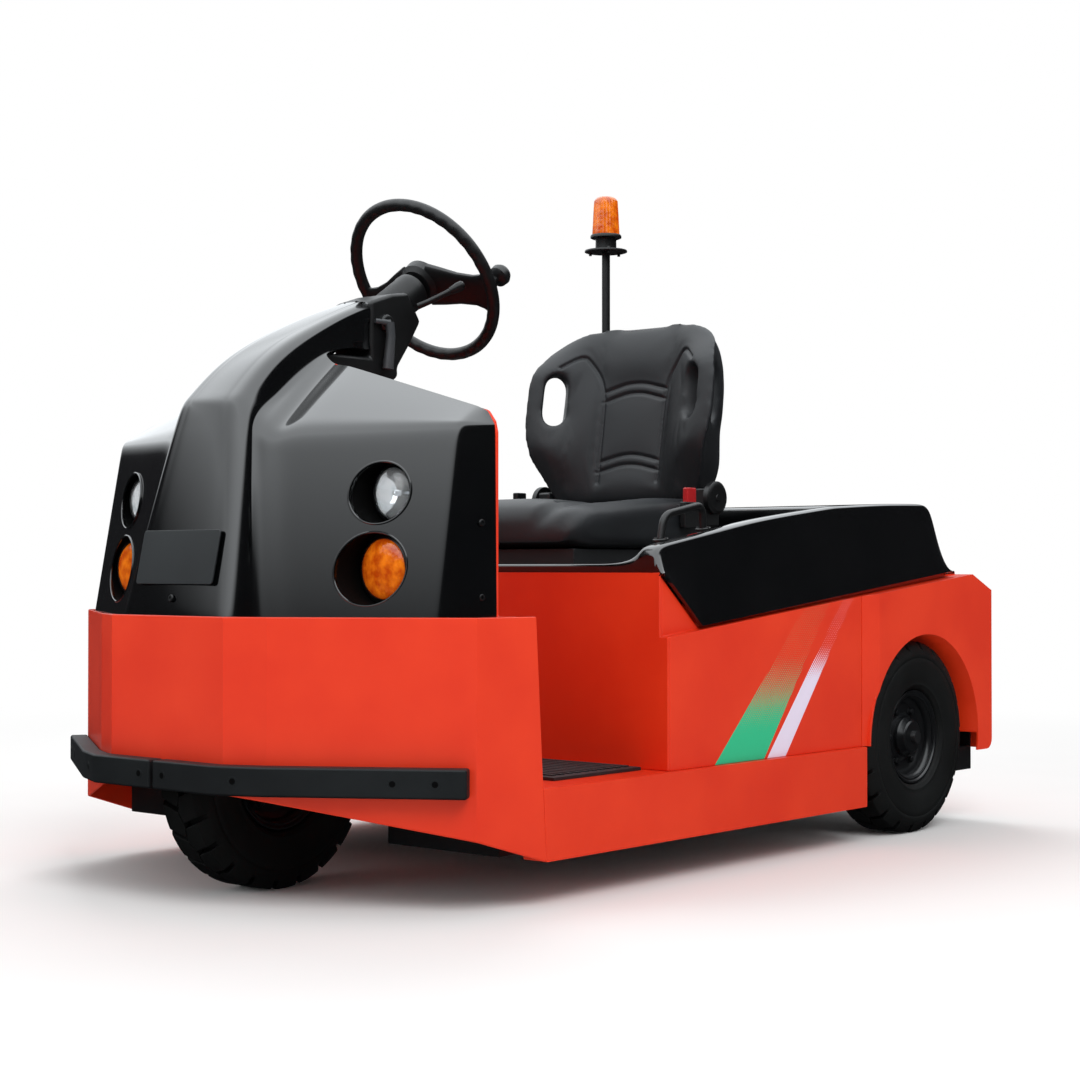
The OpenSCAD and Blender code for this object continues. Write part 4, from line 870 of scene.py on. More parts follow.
seat_back = piece("backrest_pad", [back_part], "cover", "vinyl", VINYL)
slot = half_turn(GRIP_HIGH - GRIP_R, 0) + half_turn(GRIP_LOW + GRIP_R, math.pi)
for side in (-1, 1):
    middle = [Vector((GRIP_X + y * ACROSS, side * (GRIP_Y + y * ACROSS), z)) for y, z in slot]
    through = Vector((ACROSS, -side * ACROSS, 0))
    walls = [[lean_back(p + through * far) for p in middle] for far in (-GRIP_REACH, GRIP_REACH)]
    cut(seat_back, piece("slot", [skin(walls)], "cover", "vinyl", VINYL))
cushion = piece("cushion_pad", [cushion_part], "cover", "vinyl", VINYL)
print("grip slots", round(GRIP_HIGH - GRIP_LOW), "mm high")

# %% even faces all over
VOXEL, RELAX_FIRST, RELAX_AFTER = 6.0, 12, 3


def on_back(point):
    """A seam point in the backrest's own frame stays as it is; a mesh point is brought there."""
    return in_back(point) if abs(point[0]) > 1 else Vector((0, point[1], point[2]))


def from_above(point):
    """Drops the height, for lines on the cushion."""
    return Vector((point[0], point[1], 0))


def remeshed(obj, voxel_mm):
    """Even small faces all over."""
    grid = obj.modifiers.new("even", "REMESH")
    grid.mode = "VOXEL"
    grid.voxel_size = voxel_mm * MM
    return settle(obj)


def relaxed(obj, times):
    """Evens out small steps left by the voxels."""
    work = bmesh.new()
    work.from_mesh(obj.data)
    for _ in range(times):
        every = {"use_axis_x": True, "use_axis_y": True, "use_axis_z": True}
        bmesh.ops.smooth_vert(work, verts=work.verts[:], factor=0.5, **every)
    work.to_mesh(obj.data)
    work.free()


PADS = [(seat_back, back_seams, on_back, FRONT), (cushion, cushion_seams, from_above, Vector((0, 0, 1)))]
for pad, lines, flat, side in PADS:
    remeshed(pad, VOXEL)
    relaxed(pad, RELAX_FIRST)
    print(pad.name, "points", len(pad.data.vertices))

# %% pressure from inside
PADDING_CAP, PRESSURE, SWELL_FRAMES = 22.0, 4.0, 20
HELD_FROM, HELD_OVER, SEAM_HOLD = 0.80, 0.4, 12


def swell(obj, lines, flat, side):
    """Blows the cover up by cloth pressure, held at its seams and edges, with a cap on each point's way."""
    start = [v.co.copy() for v in obj.data.vertices]
    near = line_tree(lines, flat)
    group = obj.vertex_groups.new(name="pin")
    for v in obj.data.vertices:
        edge = min(max((HELD_FROM - v.normal.dot(side)) / HELD_OVER, 0), 1)
        seam = math.exp(-((near.find(flat(v.co / MM))[2] / SEAM_HOLD) ** 2))
        group.add([v.index], max(edge, seam), "REPLACE")
    cloth = obj.modifiers.new("cloth", "CLOTH")
    values = cloth.settings
    values.quality = 4
    values.vertex_group_mass = "pin"
    values.use_pressure = True
    values.uniform_pressure_force = PRESSURE
    values.effector_weights.gravity = 0.0
    cloth.collision_settings.use_collision = False
    cloth.point_cache.frame_start, cloth.point_cache.frame_end = 1, SWELL_FRAMES
    scene = bpy.context.scene
    for frame_number in range(1, SWELL_FRAMES + 1):
        scene.frame_set(frame_number)
    settle(obj)
    scene.frame_set(1)
    far = 0.0
    for v, before in zip(obj.data.vertices, start):
        move = v.co - before
        if move.length > PADDING_CAP * MM:
            v.co = before + move.normalized() * PADDING_CAP * MM
        far = max(far, (v.co - before).length)
    return far / MM


for pad, lines, flat, side in PADS:
    print(pad.name, "swelled by up to", round(swell(pad, lines, flat, side), 1), "mm")
    relaxed(pad, RELAX_AFTER)

# %% seams pressed into the vinyl
SEAM_DEEP, SEAM_WIDE, FACING = 5.5, 4.5, 0.25


def press(obj, lines, deep, wide, flat, side):
    """Presses grooves along lines into the faces that look to one side."""
    near = line_tree(lines, flat)
    normals = [v.normal.copy() for v in obj.data.vertices]
    for v, normal in zip(obj.data.vertices, normals):
        if normal.dot(side) > FACING:
            gap = near.find(flat(v.co / MM))[2]
            v.co -= normal * deep * MM * math.exp(-((gap / wide) ** 2))


for pad, lines, flat, side in PADS:
    fine = pad.modifiers.new("fine", "SUBSURF")
    fine.levels = fine.render_levels = 1
    settle(pad)
    press(pad, lines, SEAM_DEEP, SEAM_WIDE, flat, side)
    for polygon in pad.data.polygons:
        polygon.use_smooth = True
    coat(pad, VINYL)
    print(pad.name, "faces", len(pad.data.polygons))
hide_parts("seat_back")
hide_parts("seat_cushion")

# %% recliner covers and buckles
reach_low, reach_high = box_mm("seat_recliners")
recliner = Vector(((reach_low.x + reach_high.x) / 2, reach_high.y, (reach_low.z + reach_high.z) / 2))
RECLINER_R = (reach_high.z - reach_low.z) / 2
dish = [(-18, 0), (-18, RECLINER_R), (-5, RECLINER_R), (-1, RECLINER_R - 5), (0, RECLINER_R - 12)]
dish += [(-2, RECLINER_R * 0.5), (-2, 9), (0.5, 8), (0.5, 0)]
cap = solid_turn(dish, recliner, (0, 1, 0), 48)
caps_made = piece("recliner_caps", pair(cap), "cover", "satin_black", SATIN)
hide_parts("seat_recliners")
buckle_low, buckle_high = box_mm("belt_buckles")
(near_x, _, low_z), (far_x, out_y, high_z) = buckle_low, buckle_high
buckle = block((near_x + 12, out_y - 19, high_z - 40), (far_x - 12, out_y - 3, high_z))
holder = block((near_x, out_y - 18, low_z - 20), (far_x, out_y - 1, high_z - 34))
buckles = piece("buckle_body", [buckle], "cover", "buckle_red", BUCKLE, 4.0)
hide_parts("belt_buckles")
piece("buckle_holders", pair(holder) + [mirrored(buckle)], "cover", "satin_black", SATIN, 3.0)
hinge = block((recliner.x - 26, 225, recliner.z - 70), (recliner.x + 30, reach_high.y - 16, recliner.z + 24))
piece("recliner_plates", pair(hinge), "cover", "satin_black", SATIN, 6.0)
print("recliner covers", round(RECLINER_R * 2), "mm")

# %% [markdown]
# ## Steering wheel and column
# The wheel is a thick moulded ring with finger ribs on its rear side, two broad spokes that flare into the
# ring, and a knob for one-hand turning. All of it is built about the column's slanted axis, so one small
# frame of three directions places every point.

# %% ring and spokes in the wheel's own frame
HUB = Vector((403, 0, 1282))
WHEEL_AXIS = Vector((-0.8290376, 0, 0.5591929))
WHEEL_UP, WHEEL_SIDE = Vector((0.5591929, 0, 0.8290376)), Vector((0, 1, 0))
RING_R, TUBE_R, RING_STEPS, TUBE_STEPS, RIBS = 185.0, 14.0, 240, 20, 36
SPOKE = [(24, 50, 13, -8), (60, 45, 11, -6), (100, 38, 9, -3), (140, 37, 8, 0), (160, 42, 8, 0)]
SPOKE.append((177, 54, 8, 0))


def on_wheel(radius, turn, along_axis=0.0):
    """A point of the wheel: radius, turn in degrees from its upper end, and height toward the driver."""
    t = math.radians(turn)
    return HUB + (WHEEL_UP * math.cos(t) + WHEEL_SIDE * math.sin(t)) * radius + WHEEL_AXIS * along_axis


def wheel_ring():
    """The ring, with shallow finger ribs on the side away from the driver."""
    rings = []
    for i in range(RING_STEPS):
        turn = 360 * i / RING_STEPS
        ring = []
        for k in range(TUBE_STEPS):
            a = math.tau * k / TUBE_STEPS
            away = max(-math.sin(a), 0)
            rib = 0.9 * away * math.sin(math.radians(turn * RIBS))
            r = TUBE_R - 1.2 * away + rib
            ring.append(on_wheel(RING_R + r * math.cos(a), turn, r * math.sin(a)))
        rings.append(ring)
    return welded(*skin(rings + rings[:1], caps=False))


def spoke(turn):
    """One spoke: broad and flat, flaring where it meets the ring."""
    rings = []
    for radius, half, thick, lift in SPOKE:
        middle = on_wheel(radius, turn, lift)
        across = (on_wheel(radius, turn + 1, lift) - middle).normalized()
        ring = []
        for k in range(24):
            a = math.tau * k / 24
            flat_x = math.copysign(abs(math.cos(a)) ** 0.6, math.cos(a))
            flat_z = math.copysign(abs(math.sin(a)) ** 0.6, math.sin(a))
            ring.append(middle + across * half * flat_x + WHEEL_AXIS * thick * flat_z)
        rings.append(ring)
    return skin(rings)


print("finger ribs", RIBS, "round the ring")

# %% hub, cap and knob
HUB_LINE = [(-28, 0), (-28, 38), (-18, 48), (2, 50), (9, 44), (12, 34), (12, 30), (9, 29), (9, 0)]
CAP_LINE = [(8, 0), (8, 28), (13, 27), (16, 22), (17.5, 0)]
KNOB_LINE = [(0, 0), (0, 9), (12, 8), (15, 17), (21, 23), (34, 24), (42, 20), (47, 12), (48, 0)]
CAP_GREY = finish("cap_grey", "4A4D50", "585B5E", (0.30, 0.42), 500.0, 0.06)
hub = solid_turn(HUB_LINE, HUB, WHEEL_AXIS)
cap = solid_turn(CAP_LINE, HUB, WHEEL_AXIS)
knob = solid_turn(KNOB_LINE, on_wheel(RING_R, 98, TUBE_R - 4), WHEEL_AXIS, 40)
wheel_parts = [wheel_ring(), spoke(105), spoke(-105), hub, knob]
wheel = piece("wheel_ring", wheel_parts, "handwheel", "satin_black", SATIN)
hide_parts("steering_wheel")
piece("wheel_cap", [cap], "handwheel", "satin_black", CAP_GREY)
print("wheel", round(2 * (RING_R + TUBE_R)), "mm across")

# %% column cover, head tube and levers
COVER_OUTLINE = [(622.7, 1212), (559, 1233), (510, 1241), (470, 1181), (506, 1125), (541, 1076)]
COVER_OUTLINE += [(539, 1057), (603, 1010), (766.7, 950), (766.7, 1092), (622.7, 1092)]
NECK_LINE = [(-150, 0), (-150, 41), (-64, 41), (-58, 42), (-46, 41), (-42, 37), (-40, 0)]
TIP_LINE = [(-26, 0), (-26, 8), (-6, 11), (4, 10), (8, 6), (9, 0)]
STALK = [(484, 60, 1213), (472, 80, 1222), (448, 108, 1240), (427, 134, 1257)]
TILT_LINE = [(584, 73, 1168), (582, 75, 1140), (586, 75, 1105), (590, 74, 1068)]


def side_slab(outline, y_low, y_high):
    """A slab with an outline seen from the side, between two planes across the tug."""
    return skin([[Vector((x, y, z)) for x, z in outline] for y in (y_low, y_high)])


column = piece("column_box", [side_slab(COVER_OUTLINE, -58, 58)], "chassis", "satin_black", SATIN, 9.0)
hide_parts("column_cover")
piece("column_neck", [solid_turn(NECK_LINE, HUB, WHEEL_AXIS, 48)], "chassis", "satin_black", SATIN)
rod = bar(STALK, [7, 6.5, 6.5, 8], 20)
tip = solid_turn(TIP_LINE, STALK[-1], Vector(STALK[-1]) - Vector(STALK[-2]), 28)
boss = solid_turn([(0, 0), (0, 19), (8, 19), (12, 15), (13, 0)], Vector((582, 57, 1167)), (0, 1, 0), 36)
arm = bar([(618, 64, 1169), (596, 70, 1168), (584, 73, 1166)], [5, 6, 7], 16)
tilt = bar(TILT_LINE, [10, 10, 11, 12], 20)
head = screw_head(Vector((582, 70, 1167)), Vector((0, 1, 0)), 8, 5)
HANDLE = finish("handle_grey", "34373A", "3E4144", (0.28, 0.40), 600.0, 0.06)
piece("tilt_handle", [tilt, arm], "chassis", "satin_black", HANDLE)
levers = piece("column_stalks", [rod, tip, boss, head], "chassis", "satin_black", SATIN, 1.5)
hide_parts("column_levers")
print("column cover", len(COVER_OUTLINE), "corners")

# %% [markdown]
# ## Tyres and rims
# Yard tyres carry two rows of deep blocks, set half a pitch apart so that they interlock along the middle.
# One block is drawn as sections at small turns, then repeated round both rows; an Array modifier could repeat
# it too, but here the sweep of each block follows the tyre's curve. The sidewall is a turned profile with the
# thin moulded rings that catch the light. The rim is a dish with a protruding hub and a ring of nuts.

# %% one tyre
TYRE_R, LUGS, GROOVE_DEG, SWEEP = 233.0, 22, 2.8, 4.5
CARCASS = [(42.5, 101.7), (42.9, 114.4), (53, 119), (57, 125), (59.5, 128), (59.0, 132), (60.5, 138)]
CARCASS += [(63.5, 152), (64.4, 166), (64.6, 180), (64.2, 190), (62.6, 193), (64.0, 196), (63.6, 201)]
CARCASS += [(61.5, 208), (57, 214.5), (48, 217.5), (25, 218.5), (0, 218.5)]
LUG_OUTER = [(46.5, TYRE_R), (53, 226.5), (58.5, 217), (62.6, 206), (56, 204)]


def around(centre, radius, across, turn):
    """A point at a radius and turn about a wheel's axle; a turn of zero points straight down."""
    t = math.radians(turn)
    return Vector(centre) + Vector((radius * math.sin(t), across, -radius * math.cos(t)))


def lug(centre, start, end, side):
    """One tread block between two turns, leaning with the sweep and pointed toward the middle."""
    rings = []
    for k in range(7):
        s = k / 6
        turn = start + (end - start) * s
        inner = 4.5 - 8.5 * (1 - abs(2 * s - 1))
        ring = []
        for across, radius in [(inner, 212), (inner, TYRE_R)] + LUG_OUTER:
            ring.append(around(centre, radius, side * across, turn + SWEEP * across / 50))
        rings.append(ring)
    return skin(rings)


def tyre(name, body, centre, node_name):
    """Carcass and both rows of blocks, on one wheel."""
    pitch = 360 / LUGS
    parts = [solid_turn(CARCASS + [(-a, r) for a, r in CARCASS[-2::-1]], centre, (0, 1, 0), 96)]
    for i in range(LUGS):
        parts.append(lug(centre, i * pitch + GROOVE_DEG, (i + 1) * pitch, 1))
        parts.append(lug(centre, (i + 0.5) * pitch + GROOVE_DEG, (i + 1.5) * pitch, -1))
    made = piece(name, parts, body, "tyre_rubber", TYRE, 1.6)
    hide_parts(node_name)


FRONT_AXLE = Vector((865, 0, 233))
REAR_LEFT, REAR_RIGHT = Vector((-722, 531, 233)), Vector((-722, -531, 233))
tyre("front_tread", "front_wheel", FRONT_AXLE, "front_tyre")
tyre("rear_tread_left", "rear_wheel_left", REAR_LEFT, "rear_tyre_left")
tyre("rear_tread_right", "rear_wheel_right", REAR_RIGHT, "rear_tyre_right")
print("tyres with", LUGS * 2, "blocks each")

# %% rims with hub and nuts
BARREL = [(45, 101.2), (45.5, 113.8), (49.5, 113.8), (50, 111), (49, 108.5), (46, 107), (44, 104), (40, 98)]
BARREL += [(36, 95), (30, 93.5), (-40, 93.5), (-48, 100), (-50, 108), (-49.5, 113.8), (-45.5, 113.8)]
BARREL += [(-45, 101.2)]
DISC = [(26, 94.5), (24, 88), (18, 80), (17, 60), (22, 52), (22, 30), (10, 30), (10, 94.5)]
NUT = [(0, 0), (0, 11), (2.5, 11), (2.5, 9), (10, 8.6), (11.5, 6), (11.5, 0)]
NUTS, NUT_RING_R = 6, 68


def rim(name, body, centre, side, node_name):
    """Barrel, dish, hub and nuts of one wheel; side is the way the dish faces."""
    low, high = box_mm(node_name)
    reach_out = (high.y - centre.y) if side > 0 else (centre.y - low.y)
    axis = (0, side, 0)
    end = reach_out - 0.5
    hub_line = [(-end, 0), (-end, 42), (12, 47), (30, 47), (34, 44), (reach_out - 4, 40), (end, 36), (end, 0)]
    parts = [solid_turn(BARREL, centre, axis, 96), solid_turn(DISC, centre, axis, 96)]
    parts.append(solid_turn(hub_line, centre, axis, 64))
    for k in range(NUTS):
        spot = around(centre, NUT_RING_R, side * 17, 60 * k + 30)
        parts.append(solid_turn(NUT, spot, axis, 6))
    made = piece(name, parts, body, "rim_black", RIM, 0.8)
    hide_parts(node_name)


rim("front_dish", "front_wheel", FRONT_AXLE, 1, "front_rim")
rim("rear_dish_left", "rear_wheel_left", REAR_LEFT, 1, "rear_rim_left")
rim("rear_dish_right", "rear_wheel_right", REAR_RIGHT, -1, "rear_rim_right")
print("rims", 3)

# %% [markdown]
# ## Beacon
# The beacon's amber dome has upright ribs moulded inside and out. Its outline is turned about the pole, with
# the radius waving a little from rib to rib. Below it come the black collar, the base, the round plate with
# its bolts and the pole.

# %% ribbed dome
lens_low, lens_high = box_mm("beacon_lens")
POLE = (lens_low + lens_high) / 2
POLE.z = 0
stand_low = box_mm("beacon_stand")[0]
BASE_TOP = lens_low.z


def on_pole(z, radius=0.0, turn=0.0):
    """A point at a height, on the pole's axis or at a radius and turn about it."""
    return Vector((POLE.x + radius * math.cos(turn), POLE.y + radius * math.sin(turn), z))


def ribbed_dome(low, high, foot_r, top_r, ribs):
    """An upright tapered dome whose wall waves with its ribs."""
    rings = []
    levels = [(0.0, 1.0), (0.04, 1.0), (0.3, 0.75), (0.6, 0.45), (0.82, 0.2), (0.88, 0.12)]
    for share, mix in levels:
        rings.append((low + (high - low) * share, top_r + (foot_r - top_r) * mix, 1.0))
    for share, inward, wave in ((0.94, 3, 0.6), (0.985, 9, 0.2)):
        rings.append((low + (high - low) * share, top_r - inward, wave))
    rings.append((high, top_r - 17, 0.0))
    result = []
    for z, radius, wave in rings:
        ring = []
        for i in range(ribs * 4):
            t = math.tau * i / (ribs * 4)
            r = radius + wave * 0.9 * math.cos(t * ribs)
            ring.append(on_pole(z, r, t))
        result.append(ring)
    return skin(result)


LENS_R, LENS_RIBS = (lens_high.y - lens_low.y) / 2, 24
dome_part = ribbed_dome(lens_low.z, lens_high.z, LENS_R - 1, LENS_R - 6.5, LENS_RIBS)
dome = piece("beacon_dome", [dome_part], "cover", "amber_lens", AMBER)
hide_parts("beacon_lens")
print("beacon dome", round(LENS_R * 2), "mm across")

# %% collar, base, plate and pole
UP, PLATE_Z, BOLTS, BOLT_RING_R = (0, 0, 1), BASE_TOP - 42, 3, 45
COLLAR = [(0, 0), (0, 40), (-3, 42), (-8, 42), (-10, 38), (-10, 0)]
BASE = [(-10, 0), (-10, 30), (-16, 28), (-38, 28.5), (-42, 33), (-42, 0)]
PLATE = [(0, 0), (0, 56.5), (-1.5, 57.4), (-4.5, 57.4), (-5, 56), (-5, 0)]
POLE_FOOT = [(0, 0), (0, 35), (6, 35), (8, 33), (8, 14), (22, 13), (22, 0)]
collar = solid_turn(COLLAR, on_pole(BASE_TOP - 0.2), UP, 64)
base = solid_turn(BASE, on_pole(BASE_TOP), UP, 64)
disc = solid_turn(PLATE, on_pole(PLATE_Z), UP, 72)
bolts = []
for k in range(BOLTS):
    t = math.tau * (k + 0.4) / BOLTS
    bolts.append(screw_head(on_pole(PLATE_Z, BOLT_RING_R, t), UP, 5, 5))
    bolts.append(bar([on_pole(PLATE_Z - h, BOLT_RING_R, t) for h in (4, 12)], 4, 12))
pole = bar([on_pole(z) for z in (stand_low.z + 2, PLATE_Z - 2)], 11, 32)
foot = solid_turn(POLE_FOOT, on_pole(stand_low.z), UP, 48)
stand = piece("beacon_pole", [collar, base, disc, pole, foot] + bolts, "cover", "satin_black", SATIN)
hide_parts("beacon_stand")
print("beacon top", round(lens_high.z), "mm")

# %% [markdown]
# ## Floor mat, pedals and tail lamps
# The mat is a rubber sheet with raised bars for grip. The pedals and lamp bodies keep their CAD solids, with
# rounded edges.

# %% mat with bars
mat_low, mat_high = box_mm("floor_mat")
BAR_STEP, BAR_LONG, LANES = 26.0, 13, 4
sheet_top = mat_high.z - 3.0
bars = [block(mat_low, (mat_high.x, mat_high.y, sheet_top))]
lane_w = (mat_high.y - mat_low.y - 30) / LANES
for i in range(int((mat_high.x - mat_low.x - 20) / BAR_STEP)):
    for k in range(LANES):
        x = mat_low.x + 14 + BAR_STEP * i
        y = mat_low.y + 15 + lane_w * k
        bars.append(block((x, y + 6, sheet_top - 0.5), (x + BAR_LONG, y + lane_w - 6, mat_high.z)))
mat = piece("mat_bars", bars, "chassis", "mat_rubber", MAT, 1.0)
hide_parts("floor_mat")
dress(["pedals"], SATIN, 2.0)
dress(["tail_lamps"], RED_LENS, 3.0)
print("mat bars", len(bars) - 1)

# %% [markdown]
# ## Stripes on the side panels
# Two slanted bands run up each side panel: a broad green one and a narrow pale one. They start solid at the
# sill and break up into a halftone of ever smaller dots. An image could be wrapped on the panel, but the
# bands are simple enough for arithmetic: two slanted lines bound each band, and a dot shows where its
# distance from the middle of its cell is less than a radius that shrinks with height. The lettering is left
# off.

# %% bands and dots as shader arithmetic
DOT_CELL, DOT_FULL, DOT_LAST = 0.0085, 0.74, 0.10


def math_node(tree, operation, *values, clamp=False):
    """One arithmetic node; each value is a number or another node's output."""
    made = tree.nodes.new("ShaderNodeMath")
    made.operation = operation
    made.use_clamp = clamp
    return wire(tree, made, enumerate(values)).outputs[0]


def inside_band(tree, x, z, near, far):
    """One where a place lies between two slanted lines, each given by its foot, top and their heights."""
    sides = []
    for (foot_x, foot_z), (top_x, top_z) in (near, far):
        slope = (top_x - foot_x) / (top_z - foot_z)
        line = math_node(tree, "MULTIPLY_ADD", z, slope, (foot_x - slope * foot_z) * MM)
        sides.append(math_node(tree, "SUBTRACT", x, line))
    before = math_node(tree, "LESS_THAN", sides[0], 0.0)
    after = math_node(tree, "GREATER_THAN", sides[1], 0.0)
    return math_node(tree, "MULTIPLY", before, after)


def dots(tree, x, z, solid_z, end_z):
    """One inside a halftone dot; dots fill everything at the solid height and are smallest at the end."""
    turned_a = math_node(tree, "DIVIDE", math_node(tree, "ADD", x, z), DOT_CELL)
    turned_b = math_node(tree, "DIVIDE", math_node(tree, "SUBTRACT", x, z), DOT_CELL)
    offsets = [math_node(tree, "SUBTRACT", math_node(tree, "FRACT", v), 0.5) for v in (turned_a, turned_b)]
    squares = [math_node(tree, "MULTIPLY", v, v) for v in offsets]
    far = math_node(tree, "SQRT", math_node(tree, "ADD", *squares))
    fade = node(tree, "ShaderNodeMapRange", z, solid_z * MM, end_z * MM, DOT_FULL, DOT_LAST)
    return math_node(tree, "LESS_THAN", far, fade.outputs["Result"])


print("dot cells", round(DOT_CELL / MM, 1), "mm wide")

# %% striped paint on the side panels
BANDS = [("2FC08A", ((115, 247), (-75, 426)), ((-66, 247), (-227, 450)), 275, 455)]
BANDS.append(("E6DCF0", ((-82, 250), (-256, 442)), ((-153, 250), (-320, 454)), 380, 470))


def striped(base):
    """The body paint with both bands mixed into its colour."""
    material = base.copy()
    material.name = "striped_paint"
    tree = material.node_tree
    shader = tree.nodes["Principled BSDF"]
    paint = shader.inputs["Base Color"].links[0].from_socket
    place = node(tree, "ShaderNodeTexCoord")
    split = node(tree, "ShaderNodeSeparateXYZ", place.outputs["Object"])
    x, z = split.outputs["X"], split.outputs["Z"]
    for colour, near, far, solid_z, end_z in BANDS:
        band, dot = inside_band(tree, x, z, near, far), dots(tree, x, z, solid_z, end_z)
        mix = tree.nodes.new("ShaderNodeMix")
        mix.data_type = "RGBA"
        tree.links.new(math_node(tree, "MULTIPLY", band, dot), mix.inputs[0])
        tree.links.new(paint, mix.inputs[6])
        mix.inputs[7].default_value = linear(colour)
        paint = mix.outputs[2]
    tree.links.new(paint, shader.inputs["Base Color"])
    return material


STRIPED = striped(PAINT)
for name in ("side_panel_left", "side_panel_right"):
    coat(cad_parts[name], STRIPED)
print("stripes on", "side_panel_left", "and", "side_panel_right")

# %% [markdown]
# ## Studio
# The photo is a cut-out on white with soft light from above and the left. A wide pale floor takes the shadow
# under the tug and fades to plain white further out, so that no horizon line shows. The world is white for
# the camera and for reflections, and dimmer as a lamp. Gloss black shows only what it mirrors, so a tent
# stands round the studio that reflections alone see: dark cloth below, as a photographer's black flags, and
# bright cloth above, which comes lower behind the tug's right shoulder.

# %% floor that fades to white
FLOOR_R, FLOOR_Z, FADE_FROM, FADE_TO = 60.0, -0.0005, 1.8, 5.0


def mixed(tree, share, first, second, end):
    """Mixes two shaders by a share and hands the result to the tree's output node."""
    both = node(tree, "ShaderNodeMixShader", share, first.outputs[0], second.outputs[0])
    tree.links.new(both.outputs[0], tree.nodes[end].inputs["Surface"])


def bare_material(name):
    """A material with nothing in it but its output node."""
    material = bpy.data.materials.new(name)
    material.use_nodes = True
    material.node_tree.nodes.remove(material.node_tree.nodes["Principled BSDF"])
    return material


def add_floor():
    """A wide disc whose material goes from a lit matt white to a plain white further out."""
    bpy.ops.mesh.primitive_circle_add(vertices=96, radius=FLOOR_R, fill_type="NGON", location=(0, 0, FLOOR_Z))
    floor = bpy.context.object
    floor.name = "studio_floor"
    material = bare_material("floor_white")
    tree = material.node_tree
    place = node(tree, "ShaderNodeTexCoord").outputs["Object"]
    far = node(tree, "ShaderNodeVectorMath", place)
    far.operation = "LENGTH"
    fade = node(tree, "ShaderNodeMapRange", far.outputs["Value"], FADE_FROM, FADE_TO)
    fade.interpolation_type = "SMOOTHSTEP"
    speck = node(tree, "ShaderNodeTexNoise", Vector=place, Scale=3.0)
    tone = node(tree, "ShaderNodeMapRange", Value=speck.outputs[0], To_Min=0.93, To_Max=0.95)
    matt = node(tree, "ShaderNodeBsdfDiffuse", Color=tone.outputs["Result"])
    plain = node(tree, "ShaderNodeEmission", Strength=1.0)
    mixed(tree, fade.outputs["Result"], matt, plain, "Material Output")
    coat(floor, material)
    floor.visible_glossy = False
    return floor


floor = add_floor()
print("floor radius", FLOOR_R, "m")

# %% world
WORLD_LAMP, WHITE = 0.60, (1, 1, 1, 1)


def set_world(lamp_strength):
    """White for the camera, mirrors and glass, and a dimmer soft light for everything else."""
    world = bpy.data.worlds.new("studio")
    bpy.context.scene.world = world
    world.use_nodes = True
    tree = world.node_tree
    seen = node(tree, "ShaderNodeBackground", Color=WHITE, Strength=1.0)
    light = node(tree, "ShaderNodeBackground", Color=WHITE, Strength=lamp_strength)
    ray = node(tree, "ShaderNodeLightPath").outputs
    either = math_node(tree, "ADD", ray["Is Camera Ray"], ray["Is Glossy Ray"])
    any_of = math_node(tree, "ADD", either, ray["Is Transmission Ray"], clamp=True)
    mixed(tree, any_of, light, seen, "World Output")


set_world(WORLD_LAMP)
print("world lights with", WORLD_LAMP)

# %% tent seen in reflections
TENT_R, TENT_LOW, TENT_HIGH = 9.0, -6.0, 8.2
DARK_TO, BRIGHT_FROM, FRONT_SLOPE, SIDE_SLOPE, REAR_SLOPE = 4.85, 6.3, 0.25, -0.10, 1.0
REAR_DIRECTION, REAR_FROM = (-0.73, -0.68, 0.0), 4.5
GLOW_SLOPE, GLOW_LOW, GLOW_HIGH, GLOW_LEAST, GLOW_MOST = -0.2, 5.0, 8.0, 1.3, 2.4


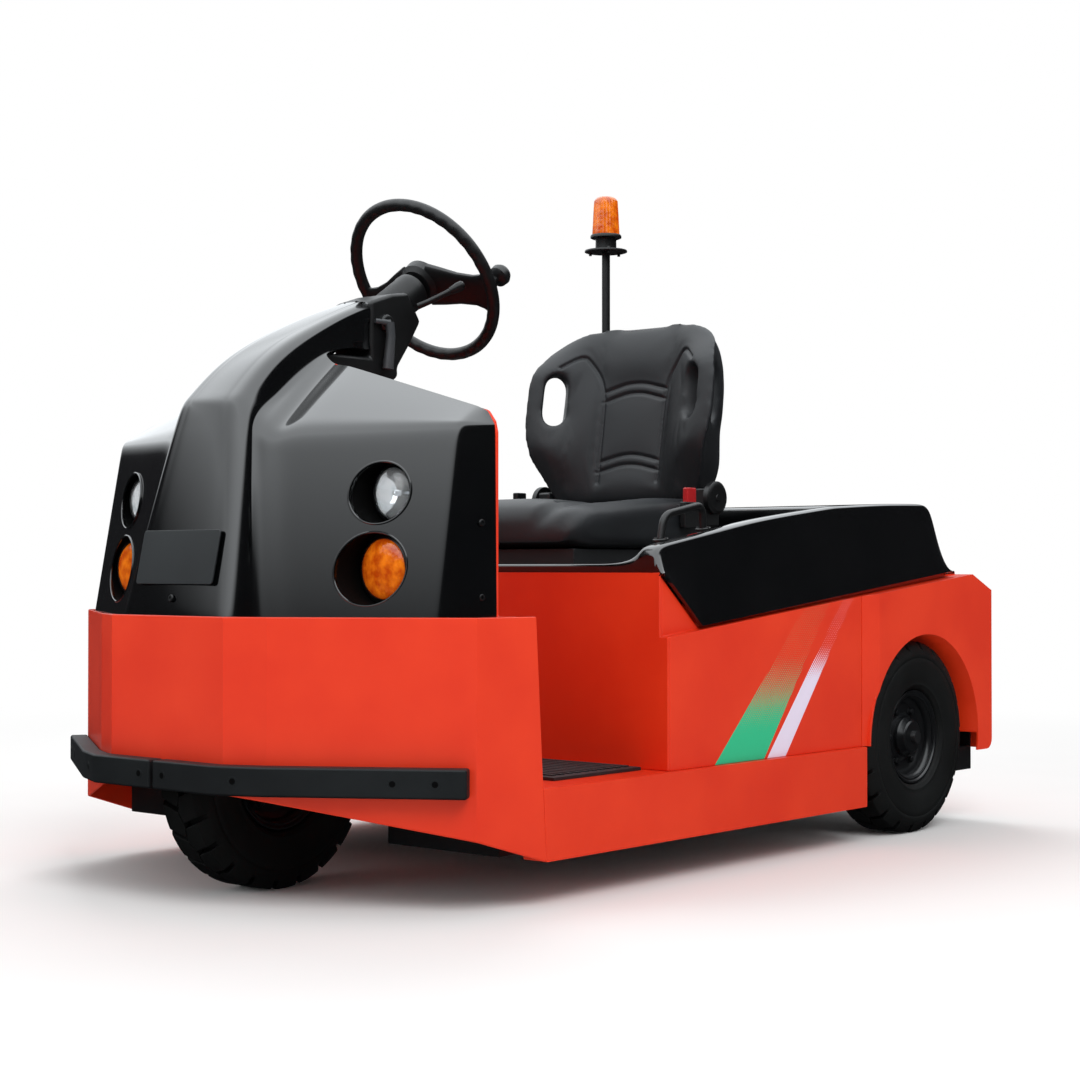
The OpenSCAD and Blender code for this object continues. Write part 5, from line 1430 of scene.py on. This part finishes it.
def add_tent():
    """A closed tub that only reflections see: dark below, bright above."""
    middle = (0, 0, (TENT_HIGH + TENT_LOW) / 2)
    size = {"vertices": 96, "radius": TENT_R, "depth": TENT_HIGH - TENT_LOW}
    bpy.ops.mesh.primitive_cylinder_add(end_fill_type="NGON", location=middle, **size)
    tent = bpy.context.object
    tent.name = "studio_tent"
    material = bare_material("tent_cloth")
    tree = material.node_tree
    place = node(tree, "ShaderNodeNewGeometry").outputs["Position"]
    x, y, z = node(tree, "ShaderNodeSeparateXYZ", place).outputs
    rear_node = node(tree, "ShaderNodeVectorMath", place, REAR_DIRECTION)
    rear_node.operation = "DOT_PRODUCT"
    rear = rear_node.outputs["Value"]
    past = math_node(tree, "MAXIMUM", math_node(tree, "SUBTRACT", rear, REAR_FROM), 0.0)
    height = z
    for share, slope in ((x, FRONT_SLOPE), (y, SIDE_SLOPE), (past, REAR_SLOPE)):
        height = math_node(tree, "MULTIPLY_ADD", share, slope, height)
    fade = node(tree, "ShaderNodeMapRange", height, DARK_TO, BRIGHT_FROM)
    shine = math_node(tree, "MULTIPLY_ADD", rear, GLOW_SLOPE, z)
    glow = node(tree, "ShaderNodeMapRange", shine, GLOW_LOW, GLOW_HIGH, GLOW_LEAST, GLOW_MOST)
    dark = node(tree, "ShaderNodeEmission", Color=(0.02, 0.02, 0.022, 1), Strength=1.0)
    bright = node(tree, "ShaderNodeEmission", Color=(0.93, 0.97, 1.0, 1), Strength=glow.outputs["Result"])
    mixed(tree, fade.outputs["Result"], dark, bright, "Material Output")
    coat(tent, material)
    tent.visible_camera = False
    tent.visible_diffuse = False
    tent.visible_transmission = False
    tent.visible_shadow = False
    return tent


tent = add_tent()
print("tent", TENT_R * 2, "m across")

# %% lamps
def add_lamp(name, place, aim, size, power):
    """One soft square lamp that looks at a point."""
    data = bpy.data.lights.new(name, "AREA")
    data.shape = "SQUARE"
    data.size = size
    data.energy = power
    lamp = placed(name, data)
    lamp.location = place
    lamp.rotation_euler = (Vector(aim) - Vector(place)).to_track_quat("-Z", "Y").to_euler()
    return lamp


MIDDLE = (0.0, 0.0, 0.7)
LAMP_PLACES = {
    "key_lamp": ((2.6, 4.2, 4.6), 3.0, 170.0),
    "top_lamp": ((-2.2, -2.6, 5.0), 3.2, 120.0),
    "nose_lamp": ((6.0, -2.0, 2.6), 2.5, 60.0),
}
for name, (place, size, power) in LAMP_PLACES.items():
    lamp = add_lamp(name, place, MIDDLE, size, power)
    lamp.visible_glossy = False

# %% [markdown]
# ## Camera
# The photo's camera was worked out from the tug's own straight edges: it stands about 3.6 m ahead and 3.1 m
# to the left, at 0.65 m height, looking almost level. A longer lens further back would flatten the nose.

# %% camera at the photo's place
EYE = Vector((3.6226, 3.0814, 0.64975))
LOOK = Vector((-0.76113, -0.64846, 0.01316))
eye_data = bpy.data.cameras.new("photo_camera")
eye_data.lens = 67.04
eye_data.sensor_width = 36.0
camera = placed("photo_camera", eye_data)
camera.location = EYE
camera.rotation_euler = LOOK.to_track_quat("-Z", "Y").to_euler()
bpy.context.scene.camera = camera
bpy.context.scene.view_settings.view_transform = "Standard"
print("camera", [round(v, 3) for v in camera.location], "lens", eye_data.lens)
